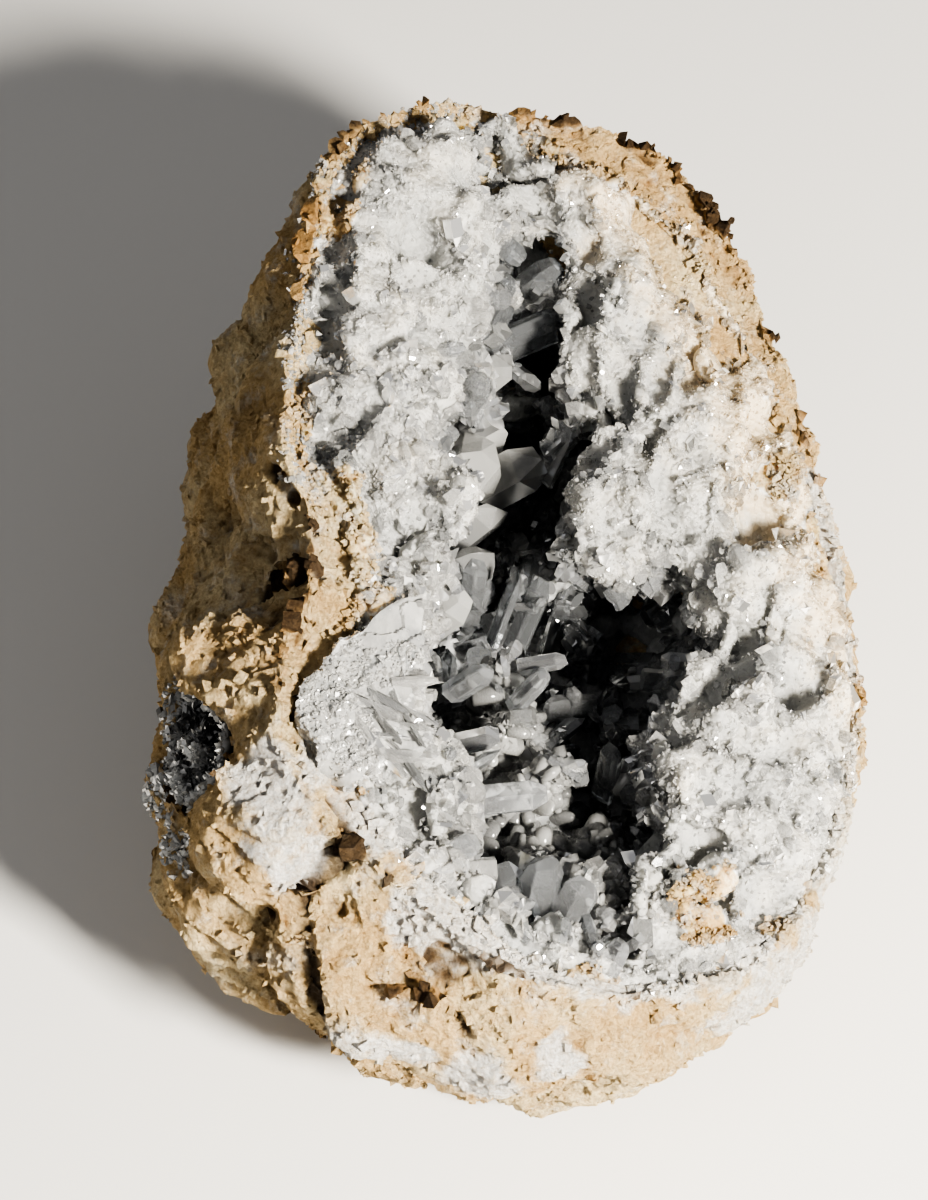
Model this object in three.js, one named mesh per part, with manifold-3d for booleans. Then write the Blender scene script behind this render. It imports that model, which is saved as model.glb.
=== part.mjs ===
// A celestite geode, broken open. One cup of pale limestone, the rind, carries a single crust of fused
// celestite crystals, which lines its hollow and covers its broken rim. A second, small crust fills a
// pocket in its left flank. Millimetres, +Z up. +Y runs along the egg towards its narrow end, and the
// origin lies under the middle of its box, on the surface that the flat foot rests on.

import * as THREE from "three";
import { MeshSurfaceSampler } from "three/addons/math/MeshSurfaceSampler.js";
import { SimplexNoise } from "three/addons/math/SimplexNoise.js";
import { mergeVertices } from "three/addons/utils/BufferGeometryUtils.js";
import Module from "manifold-3d";

const wasm = await Module();
wasm.setup();

// ---- driving dimensions ----------------------------------------------------------------------------

// The broken rim lies near one sloping plane: high on the left and at the far end.
const RIM = { height: 74, slopeX: -0.35, slopeY: 0.1 };

// The flat spot that the geode rests on.
const FOOT = { x: 2, y: 8, halfWidth: 25, halfLength: 40 };

// The widest point's height: a base, and a share of the rim's height over it.
const BELLY = { base: 16, share: 0.33 };

// Stations round the geode, anticlockwise from the right, seen from above. Each gives the widest point
// of the rock, the outer edge of the crystals on the broken rim, the edge of the mouth between the
// crystals, how far the rock's own edge stands above the rim plane, and how wide that edge is left bare.
const STATIONS = [
  { belly: [70, 0], rim: [68.5, 0], mouth: [37, 4], lip: -2, bare: 1.5 },
  { belly: [68.5, 22], rim: [66, 20], mouth: [35, 15], lip: -2, bare: 1.5 },
  { belly: [65, 44], rim: [62, 43], mouth: [20, 10], lip: -1, bare: 2 },
  { belly: [62, 62], rim: [57, 60], mouth: [14, 17], lip: 0, bare: 2.5 },
  { belly: [58, 81], rim: [49, 76], mouth: [17, 28], lip: 1, bare: 6 },
  { belly: [51, 97], rim: [40, 89], mouth: [22, 38], lip: 5, bare: 10 },
  { belly: [37, 110], rim: [28, 99], mouth: [19, 48], lip: 5, bare: 9 },
  { belly: [17, 116], rim: [14, 107], mouth: [16, 62], lip: 1.5, bare: 6 },
  { belly: [-4, 118], rim: [2, 112], mouth: [10, 87], lip: -3, bare: 1.5 },
  { belly: [-21, 115], rim: [-13, 111], mouth: [0, 77], lip: -3, bare: 1.5 },
  { belly: [-35, 106], rim: [-26, 101], mouth: [-5, 60], lip: -1, bare: 2 },
  { belly: [-46, 91], rim: [-35, 86], mouth: [-8, 45], lip: 0, bare: 2.5 },
  { belly: [-55, 68], rim: [-39, 66], mouth: [-13, 31], lip: -2, bare: 1.5 },
  { belly: [-62, 43], rim: [-40, 40], mouth: [-9, 18], lip: -2, bare: 1.5 },
  { belly: [-68, 16], rim: [-39, 17], mouth: [-10, 6], lip: 1, bare: 4 },
  { belly: [-68, -6], rim: [-30, 2], mouth: [-16, -4], lip: 2, bare: 8 },
  { belly: [-69, -24], rim: [-28, -11], mouth: [-18, -16], lip: 2, bare: 10 },
  { belly: [-67, -42], rim: [-34, -30], mouth: [-15, -29], lip: 1, bare: 8 },
  { belly: [-60, -58], rim: [-32, -46], mouth: [-10, -42], lip: 1, bare: 9 },
  { belly: [-46, -74], rim: [-24, -57], mouth: [-8, -53], lip: 1.5, bare: 9 },
  { belly: [-26, -86], rim: [-12, -67], mouth: [-4, -64], lip: 1, bare: 8 },
  { belly: [0, -90], rim: [3, -77], mouth: [7, -71], lip: 0.5, bare: 6 },
  { belly: [22, -87], rim: [20, -79], mouth: [20, -72], lip: 0, bare: 4 },
  { belly: [39, -79], rim: [39, -74], mouth: [27, -63], lip: 0, bare: 3 },
  { belly: [53, -66], rim: [52, -62], mouth: [28, -48], lip: -1, bare: 1.5 },
  { belly: [63, -47], rim: [61, -45], mouth: [30, -41], lip: -2, bare: 1.5 },
  { belly: [68, -28], rim: [66, -27], mouth: [28, -30], lip: -2, bare: 1.5 },
  { belly: [70, -13], rim: [68.5, -13], mouth: [36, -14], lip: -2, bare: 1.5 },
];

// The hollow at its widest, as a share of the rock round it, and the level of its rock floor.
const HOLLOW = { x: 7, y: 6, widthShare: 0.64, lengthShare: 0.78, height: 38, floor: 13 };

// How far under the rim plane the mouth in the bare rock lies, and the mouth between the crystals.
const ROCK_MOUTH_DEPTH = 17;
const CRUST_MOUTH_DEPTH = 9;

// Broad forms of the rock's outside: each stands out, or sinks in, by its push within its reach.
const ROCK_RELIEF = [
  { at: [-27, -66, 68], reach: 10, push: -6 }, // recess under the chalky lobe
  { at: [-42, -2, 77], reach: 11, push: -6 }, // recess above the left ledge
  { at: [-56, 2, 66], reach: 12, push: -4 },
  { at: [-46, -24, 74], reach: 12, push: 3 }, // left ledge
  { at: [-36, 9, 86], reach: 8, push: 2.5 },
  { at: [-20, -82, 52], reach: 16, push: 3 }, // front lobe
  { at: [-36, -74, 28], reach: 14, push: -5 }, // undercut of the front
  { at: [20, -86, 44], reach: 13, push: 2 },
  { at: [0, -84, 24], reach: 12, push: -4 },
  { at: [-64, -8, 56], reach: 14, push: 2.5 },
  { at: [-66, 30, 40], reach: 15, push: -5 },
  { at: [-58, 66, 60], reach: 13, push: 4 },
  { at: [-40, 98, 50], reach: 18, push: -4 },
  { at: [10, 116, 40], reach: 20, push: 3 },
  { at: [52, 92, 34], reach: 18, push: -4 },
  { at: [66, 40, 24], reach: 18, push: 3 },
  { at: [66, -40, 24], reach: 16, push: -3 },
];

// Layers in the rock: wavy ledges on the left flank, one every pitch of height. They start at the edge
// and are full a fade further left.
const LAYERS = { pitch: 16, depth: 5, waveHeight: 6, waveSize: 60, edge: -18, fade: 16 };

// Lumps of rock that stand out of the rind: how rough they are for their size, and the size of that grain.
const LUMP_ROUGHNESS = 0.26;
const LUMP_GRAIN = 14;
const ROCK_LUMPS = [
  { at: [-39, -51, 63], radii: [20, 17, 17], detail: 2 }, // chalky lobe
  { at: [-49, -55, 39], radii: [13, 11, 19], detail: 2 }, // ledge at the lower left
  { at: [-45, -20, 69], radii: [18, 16, 12], detail: 2 }, // left ledge
  { at: [-37, 9, 78], radii: [10, 12, 10], detail: 1 }, // block above it
  { at: [3, -78, 18], radii: [12, 9, 8], detail: 1 }, // nodule under the front
  { at: [-9, -74, 47], radii: [22, 14, 18], detail: 2 }, // front lobe
  { at: [-52, 48, 44], radii: [13, 18, 22], detail: 2 },
];

// Cracks in the rock, each a groove that tapers to its ends and its bottom. They run towards the hollow,
// to a point at this share of their own way along it.
const CRACK_AIM = 0.7;
const CRACKS = [
  { from: [-27, -42, 83], to: [-37, -70, 58], width: 4.5, depth: 10 }, // under the chalky lobe
  { from: [-45, -62, 64], to: [-36, -78, 20], width: 9, depth: 18 }, // behind the lower-left ledge
  { from: [-40, -36, 86], to: [-20, -9, 88], width: 3.5, depth: 8 }, // beside the smooth plate
  { from: [-10, -94, 64], to: [-5, -92, 42], width: 5, depth: 10 }, // notch in the front
  { from: [-66, 2, 66], to: [-32, -8, 86], width: 5.5, depth: 9 }, // over the left ledge
  { from: [-46, 26, 84], to: [-38, -4, 90], width: 3.5, depth: 7 },
  { from: [36, 94, 80], to: [54, 76, 72], width: 4.5, depth: 8 }, // inside the far ridge
  { from: [-58, 50, 70], to: [-42, 90, 78], width: 4.5, depth: 8 },
  { from: [26, -92, 50], to: [48, -80, 38], width: 4.5, depth: 8 },
  { from: [70, 26, 42], to: [66, 58, 34], width: 6, depth: 8 },
  { from: [14, 124, 56], to: [46, 112, 48], width: 7, depth: 10 },
];

// The pocket in the left flank and the crystals that line it.
const POCKET = { at: [-56, -33, 63], radii: [11, 15, 12], detail: 1, wall: 3.5, outwards: [-2.6, 0, 3] };
const POCKET_CRYSTALS = { count: 8, spacing: 5, length: [5, 8], width: [2.6, 4], lean: 0.4 };

// The crystal crust: how thick it is and how deep its floor is set, how far it keeps from the rock, how far
// lumps of rock keep from the rock's face under it, and how lumpy its own face is.
const CRUST_THICKNESS = 8;
const CRUST_ROOT = 2;
const CONTACT_GAP = 0.35;
const LUMP_SETBACK = 0.6;
const CRUST_LUMPS = { size: 21, height: 2.6 };

// The width of rim on which the crust is heaped up in full, and how far it lies under the rim plane on the
// narrowest.
const FULL_HEAP_WIDTH = 28;
const NARROW_RIM_SINK = 3.5;

// The share of that relief which the first rows of the crust's face take, from its edge inwards.
const CRUST_EDGE_SHARES = [0, 0.35, 0.75];

// Mounds of fused crystals on the left of the hollow and on its floor.
const CRYSTAL_MOUNDS = [
  { at: [-5, -30, 33], radii: [23, 27, 15], detail: 2 },
  { at: [13, -47, 33], radii: [16, 17, 15], detail: 2 },
  { at: [9, 9, 13], radii: [19, 24, 12], detail: 1 },
];

// Rounded heads and dips of the crust's face.
const CRYSTAL_HEADS = [
  { at: [24, 40, 70], reach: 9, push: 6 },
  { at: [22, 19, 66], reach: 9, push: 6 },
  { at: [41, 33, 61], reach: 10, push: 5 },
  { at: [33, -35, 58], reach: 9, push: 5 },
  { at: [30, 22, 66], reach: 5, push: -6 },
  { at: [24, 62, 74], reach: 9, push: 4 },
  { at: [50, 6, 57], reach: 9, push: 4 },
  { at: [46, -18, 54], reach: 9, push: 3 },
  { at: [-12, 72, 86], reach: 11, push: 4 },
  { at: [-26, 36, 86], reach: 11, push: 3 },
  { at: [-20, 86, 90], reach: 9, push: 3 },
  { at: [-14, 14, 80], reach: 8, push: 4 },
];

// Short points all over the crust's face, and longer crystals in the hollow, below the rim.
const CRUST_POINTS = { share: 0.55, height: [1.4, 3.8] };
const HOLLOW_CRYSTALS = { count: 42, spacing: 9, length: [8, 15], width: [3.4, 6], lean: 0.6 };
const RIM_DEPTH = 9;

// A crystal's form: its thickness and the height of its roof-shaped end as shares of its width, and its
// root as a share of its length, up to a limit.
const CRYSTAL = { thickness: [0.45, 0.8], tip: 0.45, root: 1 / 3, deepestRoot: 4 };

// The largest crystals in the hollow: where each starts, where it ends, and how wide and thick it is. They
// are all rolled by the same angle about their length.
const LARGE_CRYSTAL_ROLL = 0.4;
const LARGE_CRYSTALS = [
  { from: [4, -14, 46], to: [-8, -11, 53], width: 5, thickness: 4 },
  { from: [2, -20, 44], to: [-3, -3, 55], width: 4.5, thickness: 4 },
  { from: [-8, -38, 42], to: [14, -30, 54], width: 6.5, thickness: 3.5 },
  { from: [-10, -26, 44], to: [3, -22, 58], width: 6, thickness: 3 },
  { from: [0, 22, 19], to: [4, 26, 42], width: 7, thickness: 5 },
  { from: [9, 18, 18], to: [14, 24, 40], width: 6, thickness: 4 },
  { from: [-14, 34, 26], to: [6, 36, 36], width: 8, thickness: 5 },
  { from: [-6, 64, 44], to: [12, 60, 52], width: 8, thickness: 5 },
  { from: [26, -6, 20], to: [23, -12, 40], width: 6, thickness: 4 },
  { from: [2, -56, 42], to: [8, -50, 56], width: 9, thickness: 5 },
];

// Mesh density: columns round the geode where it shows and where the crust hides it, and rows up a face.
const COLUMNS = 62;
const HIDDEN_COLUMNS = 28;
const OUTSIDE_ROWS = 15;
const INSIDE_ROWS = 8;
const CRUST_ROWS = 18;
const CRUST_FLOOR_ROWS = 8;

// The grain of the rock, and where its relief fades out: by height above the foot, and, to a share of it,
// by depth under the rim plane.
const ROCK_GRAIN = { size: 29, height: 3.3 };
const FOOT_FADE = { from: 0.5, to: 14 };
const EDGE_FADE = { from: 3, to: 16, left: 0.15 };

// Octaves of the noise: how much finer each is than the first and how much it counts, and the height that
// their sum seldom passes.
const OCTAVES = [
  { finer: 1, weight: 1 },
  { finer: 2.1, weight: 0.5 },
  { finer: 4.3, weight: 0.25 },
];
const NOISE_PEAK = 1.4;

// Cuts leave no edge shorter than this, unless drawing it together would tip a face over further than the
// least agreement between its old and its new direction.
const SHORTEST_EDGE = 0.2;
const LEAST_AGREEMENT = 0.3;

// Points nearer than this are one, and faces are moved outwards in so many rounds.
const MERGE_DISTANCE = 1e-4;
const GROWTH_ROUNDS = 12;

// Each use of random numbers has a stream of its own, so many draws from the next.
const SEEDS = { rock: 1, crystals: 2, points: 3, hollow: 4, pocket: 5 };
const STREAM_LENGTH = 100003;
const TRIES_PER_CRYSTAL = 60;

const ROCK_TAN = 0xc9a677;
const CRYSTAL_GREY = 0xc3c9ce;
const POCKET_GREY = 0xb4b6b4;

// ---- helpers ---------------------------------------------------------------------------------------

const { lerp, smoothstep, seededRandom } = THREE.MathUtils;
const rimPlane = ([x, y]) => RIM.height + RIM.slopeX * x + RIM.slopeY * y;
const belowRim = (p) => rimPlane([p.x, p.y]) - p.z;
const between = (a, b, share) => a.map((value, i) => lerp(value, b[i], share));
const vector = (point) => new THREE.Vector3(...point);

// Repeatable random numbers, one stream for each use.
function stream(seed) {
  let drawn = seed * STREAM_LENGTH;
  const random = () => seededRandom(drawn++);
  return { random, within: ([low, high]) => lerp(low, high, random()) };
}

const rockNoise = new SimplexNoise(stream(SEEDS.rock));
const crystalNoise = new SimplexNoise(stream(SEEDS.crystals));

// Noise in octaves, between about -1 and 1.
function layeredNoise(noise, p, size) {
  const octave = (s) => noise.noise3d(p.x / s, p.y / s, p.z / s);
  return OCTAVES.reduce((sum, { finer, weight }) => sum + weight * octave(size / finer), 0) / NOISE_PEAK;
}

// A geometry with positions only and its shared vertices merged.
function bareGeometry(geometry) {
  const bare = new THREE.BufferGeometry();
  bare.setAttribute("position", geometry.getAttribute("position"));
  bare.setIndex(geometry.index);
  return mergeVertices(bare, MERGE_DISTANCE);
}

// A closed mesh as a solid that can be joined and cut.
function solid(geometry) {
  const bare = bareGeometry(geometry);
  return new wasm.Manifold(
    new wasm.Mesh({
      numProp: 3,
      vertProperties: new Float32Array(bare.attributes.position.array),
      triVerts: new Uint32Array(bare.index.array),
    }),
  );
}

// The largest body of a solid, as a geometry again.
function geometryOf(shape) {
  const bodies = shape.decompose();
  bodies.sort((a, b) => b.volume() - a.volume());
  const mesh = bodies[0].getMesh();
  const points = [];
  for (let i = 0; i < mesh.vertProperties.length; i += 3) {
    points.push(new THREE.Vector3().fromArray(mesh.vertProperties, i));
  }
  const triangles = [];
  for (let i = 0; i < mesh.triVerts.length; i += 3) triangles.push([...mesh.triVerts.slice(i, i + 3)]);
  const geometry = new THREE.BufferGeometry().setFromPoints(points);
  geometry.setIndex(withoutShortEdges(points, triangles).flat());
  const merged = bareGeometry(geometry.toNonIndexed());
  merged.computeVertexNormals();
  return merged;
}

// Draws together the ends of each edge that is too short, where that folds no triangle over.
function withoutShortEdges(points, triangles) {
  const around = points.map(() => new Set());
  triangles.forEach((corners, i) => corners.forEach((corner) => around[corner].add(i)));
  const neighbours = (corner) => new Set([...around[corner]].flatMap((i) => triangles[i]));
  const face = (corners) => new THREE.Triangle(...corners.map((corner) => points[corner]));
  const turned = (corners, after) => {
    const before = face(corners);
    if (before.getArea() < SHORTEST_EDGE ** 2 / 4) return false;
    const normal = before.getNormal(new THREE.Vector3());
    return normal.dot(face(after).getNormal(new THREE.Vector3())) < LEAST_AGREEMENT;
  };
  const join = (keep, drop) => {
    if (points[keep].distanceTo(points[drop]) > SHORTEST_EDGE) return;
    const both = neighbours(keep).intersection(neighbours(drop));
    const shared = around[keep].intersection(around[drop]);
    if (both.size !== 4 || shared.size !== 2) return;
    const moved = [...around[drop].difference(shared)];
    const renamed = moved.map((i) => triangles[i].map((corner) => (corner === drop ? keep : corner)));
    if (moved.some((i, at) => turned(triangles[i], renamed[at]))) return;
    shared.forEach((i) => triangles[i].forEach((corner) => around[corner].delete(i)));
    shared.forEach((i) => (triangles[i] = []));
    moved.forEach((i, at) => {
      triangles[i] = renamed[at];
      around[keep].add(i);
    });
    around[drop].clear();
  };
  for (let i = 0; i < triangles.length; i++) {
    for (let side = 0; side < triangles[i].length; side++) {
      join(triangles[i][side], triangles[i][(side + 1) % 3]);
    }
  }
  return triangles;
}

// Moves every vertex along its own normal by what shift(point) says.
function swell(geometry, shift) {
  const moved = geometry.clone();
  const position = moved.attributes.position;
  const normal = geometry.attributes.normal;
  for (let i = 0; i < position.count; i++) {
    const p = new THREE.Vector3().fromBufferAttribute(position, i);
    const n = new THREE.Vector3().fromBufferAttribute(normal, i);
    p.addScaledVector(n, shift(p, i));
    position.setXYZ(i, p.x, p.y, p.z);
  }
  moved.computeVertexNormals();
  return moved;
}

// Moves every face outwards by the gap, or inwards by a negative one. Each corner moves as far as its
// faces need, so a piece that is cut by the result keeps clear of the original.
function grown(geometry, gap) {
  const position = geometry.attributes.position;
  const points = Array.from({ length: position.count }, (_, i) => {
    return new THREE.Vector3().fromBufferAttribute(position, i);
  });
  const moves = points.map(() => new THREE.Vector3());
  const corners = [...geometry.index.array];
  for (let round = 0; round < GROWTH_ROUNDS; round++) {
    for (let i = 0; i < corners.length; i += 3) {
      const triangle = corners.slice(i, i + 3);
      const face = new THREE.Triangle(...triangle.map((corner) => points[corner]));
      const outwards = face.getNormal(new THREE.Vector3()).multiplyScalar(Math.sign(gap));
      for (const corner of triangle) {
        const missing = Math.abs(gap) - moves[corner].dot(outwards);
        if (missing > 0) moves[corner].addScaledVector(outwards, missing);
      }
    }
  }
  const moved = geometry.clone();
  points.forEach((p, i) => moved.attributes.position.setXYZ(i, ...p.add(moves[i])));
  return moved;
}

// A rough ball, stretched to its radii.
function lump({ at, radii, detail }, noise) {
  const ball = bareGeometry(new THREE.IcosahedronGeometry(1, detail));
  ball.scale(...radii);
  ball.translate(...at);
  ball.computeVertexNormals();
  const roughness = LUMP_ROUGHNESS * Math.min(...radii);
  return swell(ball, (p) => roughness * layeredNoise(noise, p, LUMP_GRAIN));
}

// A groove in the rock: an eight-sided wedge that tapers to its ends, sunk towards the hollow.
function crack({ from, to, width, depth }) {
  const start = vector(from);
  const end = vector(to);
  const middle = start.clone().lerp(end, 0.5);
  const along = end.clone().sub(start);
  const aim = new THREE.Vector3(HOLLOW.x, middle.y * CRACK_AIM, HOLLOW.height);
  const inwards = aim.sub(middle).normalize();
  const across = new THREE.Vector3().crossVectors(inwards, along).normalize();
  const wedge = bareGeometry(new THREE.OctahedronGeometry(1));
  wedge.scale(along.length() / 2, width / 2, depth);
  wedge.applyMatrix4(new THREE.Matrix4().makeBasis(along.normalize(), across, inwards).setPosition(middle));
  return wedge;
}

// ---- the lofted faces ------------------------------------------------------------------------------

// A smooth sheet through rings of points: rows of as many points as there are columns.
function loft(rings, rows, columns) {
  const curves = rings.map((ring) => new THREE.CatmullRomCurve3(ring, true, "centripetal"));
  const profiles = Array.from({ length: columns }, (_, column) => {
    const points = curves.map((curve) => curve.getPoint(column / columns));
    return new THREE.CatmullRomCurve3(points, false, "centripetal");
  });
  return Array.from({ length: rows }, (_, row) => profiles.map((p) => p.getPoint(row / (rows - 1))));
}

// The last rows near the floor, which are short, with only every second point.
function thinned(rows, count) {
  const full = rows.length - count;
  return rows.map((row, i) => (i < full ? row : row.filter((_, column) => column % 2 === 0)));
}

// A mesh through rows of points, each row a closed ring or a single point.
function rowsGeometry(rows) {
  const triangles = [];
  let start = 0;
  for (let row = 0; row < rows.length - 1; row++) {
    const next = start + rows[row].length;
    triangles.push(...bandTriangles(start, rows[row].length, next, rows[row + 1].length));
    start = next;
  }
  const geometry = new THREE.BufferGeometry().setFromPoints(rows.flat());
  geometry.setIndex(triangles);
  geometry.computeVertexNormals();
  return geometry;
}

// The triangles between two rings, always stepping on along the ring that lags behind.
function bandTriangles(lowStart, lowCount, highStart, highCount) {
  const lowSteps = lowCount > 1 ? lowCount : 0;
  const highSteps = highCount > 1 ? highCount : 0;
  const triangles = [];
  let low = 0;
  let high = 0;
  while (low < lowSteps || high < highSteps) {
    const a = lowStart + (low % lowCount);
    const b = highStart + (high % highCount);
    if (high >= highSteps || (low < lowSteps && (low + 1) / lowSteps <= (high + 1) / highSteps)) {
      low += 1;
      triangles.push(a, lowStart + (low % lowCount), b);
    } else {
      high += 1;
      triangles.push(a, highStart + (high % highCount), b);
    }
  }
  return triangles;
}

// ---- points round the geode ------------------------------------------------------------------------

const ring = (place) => STATIONS.map((station) => vector(place(station)));
const onRimPlane = (point, above) => [...point, rimPlane(point) + above];
const bellyHeight = (station) => BELLY.base + BELLY.share * rimPlane(station.rim);

function footPoint(station) {
  const angle = Math.atan2(
    (station.belly[1] - FOOT.y) / FOOT.halfLength,
    (station.belly[0] - FOOT.x) / FOOT.halfWidth,
  );
  return [FOOT.x + FOOT.halfWidth * Math.cos(angle), FOOT.y + FOOT.halfLength * Math.sin(angle)];
}

const rimWidth = ({ rim, mouth }) => Math.hypot(rim[0] - mouth[0], rim[1] - mouth[1]);

// The rock's outer edge, past the rim of the crystals by the width of bare rock.
function rockEdge(station) {
  return between(station.mouth, station.rim, 1 + station.bare / rimWidth(station));
}

// The mouth in the bare rock: wider than the mouth between the crystals by the crust's thickness, or, on
// a narrow rim, by half its width.
function rockMouth(station) {
  return between(station.mouth, station.rim, Math.min(CRUST_THICKNESS / rimWidth(station), 0.5));
}

// The hollow's wall at its widest, moved inwards by the inset.
function hollowWall(station, inset) {
  const x = (station.belly[0] - HOLLOW.x) * HOLLOW.widthShare;
  const y = (station.belly[1] - HOLLOW.y) * HOLLOW.lengthShare;
  const share = 1 - inset / Math.hypot(x, y);
  return [HOLLOW.x + x * share, HOLLOW.y + y * share];
}

const hollowMiddle = [HOLLOW.x, HOLLOW.y];
const towardsWall = (station, inset, share) => between(hollowMiddle, hollowWall(station, inset), share);

// Rings of the rock's outside, by their shares of the way across and up: from the foot to the widest
// points, and from there to the edge.
const underBelly = (across, up) =>
  ring((s) => [...between(footPoint(s), s.belly, across), bellyHeight(s) * up]);
const overBelly = (across, up) =>
  ring((s) => [...between(s.belly, rockEdge(s), across), lerp(bellyHeight(s), rimPlane(s.rim), up)]);

// Rings on the broken rim, by their share of the way in and their height over the rim plane.
const onRockRim = (inwards, above) =>
  ring((s) => onRimPlane(between(s.rim, rockMouth(s), inwards), above(s)));
const onCrustRim = (inwards, above) =>
  ring((s) => onRimPlane(between(s.rim, s.mouth, inwards), above(s)));

// How high the crust stands over the rim plane, for the height that it has on a wide rim.
function heaped(station, height) {
  const share = Math.min(rimWidth(station) / FULL_HEAP_WIDTH, 1);
  return lerp(-NARROW_RIM_SINK, height, share ** 2);
}

// Rings inside the hollow: from a mouth to the widest points, by their shares of the way across and down,
// and on the floor, by their share of the way out and their level.
const underMouth = (mouth, depth, inset, across, down) =>
  ring((s) => [
    ...between(mouth(s), hollowWall(s, inset), across),
    lerp(rimPlane(mouth(s)) - depth, HOLLOW.height, down),
  ]);
const onFloor = (inset, outwards, level) => ring((s) => [...towardsWall(s, inset, outwards), level]);

const rockOutsideRings = [
  underBelly(0, 0),
  underBelly(0.6, 0.16),
  underBelly(0.9, 0.52),
  underBelly(1, 1),
  overBelly(0.4, 0.6),
  ring((s) => onRimPlane(rockEdge(s), s.lip)),
];

const rockInsideRings = [
  ring((s) => onRimPlane(rockEdge(s), s.lip)),
  onRockRim(0.1, (s) => s.lip - 4),
  onRockRim(0.55, () => -7),
  onRockRim(1, () => -ROCK_MOUTH_DEPTH),
  underMouth(rockMouth, ROCK_MOUTH_DEPTH, 0, 0.65, 0.55),
  underMouth(rockMouth, ROCK_MOUTH_DEPTH, 0, 1, 1),
  onFloor(0, 0.84, lerp(HOLLOW.height, HOLLOW.floor, 0.62)),
  onFloor(0, 0.42, HOLLOW.floor + 1),
];

const crustFaceRings = [
  onCrustRim(0.03, (s) => s.lip - 0.5),
  onCrustRim(0.18, (s) => heaped(s, 1)),
  onCrustRim(0.36, (s) => heaped(s, 2.4)),
  onCrustRim(0.66, (s) => heaped(s, 1.5)),
  onCrustRim(0.92, (s) => heaped(s, -2.5)),
  onCrustRim(1, () => -CRUST_MOUTH_DEPTH),
  underMouth((s) => s.mouth, CRUST_MOUTH_DEPTH, CRUST_THICKNESS, 0.6, 0.62),
  onFloor(CRUST_THICKNESS, 1, HOLLOW.height + 2),
  onFloor(CRUST_THICKNESS, 0.8, HOLLOW.floor + 14),
  onFloor(CRUST_THICKNESS, 0.4, HOLLOW.floor + CRUST_THICKNESS),
];

// ---- the rind --------------------------------------------------------------------------------------

function smoothRind() {
  return rowsGeometry([
    [new THREE.Vector3(FOOT.x, FOOT.y, 0)],
    ...loft(rockOutsideRings, OUTSIDE_ROWS, COLUMNS),
    ...loft(rockInsideRings, INSIDE_ROWS, HIDDEN_COLUMNS).slice(1),
    [new THREE.Vector3(...hollowMiddle, HOLLOW.floor)],
  ]);
}

// How far broad forms push a point out, each fading away from its middle.
function relief(p, forms) {
  const share = ({ at, reach }) => Math.exp(-p.distanceToSquared(vector(at)) / reach ** 2);
  return forms.reduce((sum, form) => sum + form.push * share(form), 0);
}

// How far the weathered rock stands out of the smooth form at a point of its outside.
function rockRelief(p) {
  let out = relief(p, ROCK_RELIEF) + ROCK_GRAIN.height * layeredNoise(rockNoise, p, ROCK_GRAIN.size);
  const level = (p.z + LAYERS.waveHeight * layeredNoise(rockNoise, p, LAYERS.waveSize)) / LAYERS.pitch;
  const onLeft = smoothstep(-p.x, -LAYERS.edge, LAYERS.fade - LAYERS.edge);
  out += LAYERS.depth * onLeft * (level - Math.floor(level) - 0.5);
  const offEdge = lerp(EDGE_FADE.left, 1, smoothstep(belowRim(p), EDGE_FADE.from, EDGE_FADE.to));
  return out * offEdge * smoothstep(p.z, FOOT_FADE.from, FOOT_FADE.to);
}

const outsidePoints = 1 + OUTSIDE_ROWS * COLUMNS;
const weatheredRind = swell(smoothRind(), (p, i) => (i < outsidePoints ? rockRelief(p) : 0));
const rockLumps = ROCK_LUMPS.map((size) => lump(size, rockNoise));
const cracks = CRACKS.map(crack);

// The space over the rock's inner face, with the skin of rock round it that the lumps stay out of.
function hollowSpace(skin) {
  const rows = loft(rockInsideRings, INSIDE_ROWS, HIDDEN_COLUMNS).slice(1).reverse();
  const above = rows.at(-1).map((p) => new THREE.Vector3(p.x, p.y, p.z + RIM.height / 2));
  const floor = [new THREE.Vector3(...hollowMiddle, HOLLOW.floor)];
  const top = [new THREE.Vector3(...hollowMiddle, RIM.height * 2)];
  return solid(grown(rowsGeometry([floor, ...rows, above, top]), skin));
}

// The rock with its lumps, and with all its faces moved outwards by the gap.
function rockSolid(gap) {
  const space = hollowSpace(LUMP_SETBACK - gap);
  let rock = solid(grown(weatheredRind, gap));
  for (const piece of rockLumps) rock = rock.add(solid(grown(piece, gap)).subtract(space));
  return rock;
}

const wholeRock = rockSolid(0);
const pocketSpace = lump(POCKET, crystalNoise);
let rind = wholeRock.subtract(solid(pocketSpace));
for (const groove of cracks) rind = rind.subtract(solid(groove));

// ---- crystals --------------------------------------------------------------------------------------

// A flat-sided prism with a roof-shaped end, along +Y from the origin, with a root below it.
function prism(length, width, thickness) {
  const half = width / 2;
  const root = -Math.min(length * CRYSTAL.root, CRYSTAL.deepestRoot);
  const shoulder = length - width * CRYSTAL.tip;
  const outline = [[-half, root], [half, root], [half, shoulder], [0, length], [-half, shoulder]];
  const shape = new THREE.Shape(outline.map((point) => new THREE.Vector2(...point)));
  const blade = new THREE.ExtrudeGeometry(shape, { depth: thickness, bevelEnabled: false });
  return blade.translate(0, 0, -thickness / 2);
}

// Turns a crystal from +Y to its direction, rolls it about that, and moves it to its place.
function placed(crystal, place, direction, roll) {
  const turn = new THREE.Quaternion().setFromUnitVectors(new THREE.Vector3(0, 1, 0), direction);
  const spin = new THREE.Quaternion().setFromAxisAngle(direction, roll);
  const matrix = new THREE.Matrix4().makeRotationFromQuaternion(spin.multiply(turn));
  return solid(crystal.applyMatrix4(matrix.setPosition(place)));
}

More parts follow.
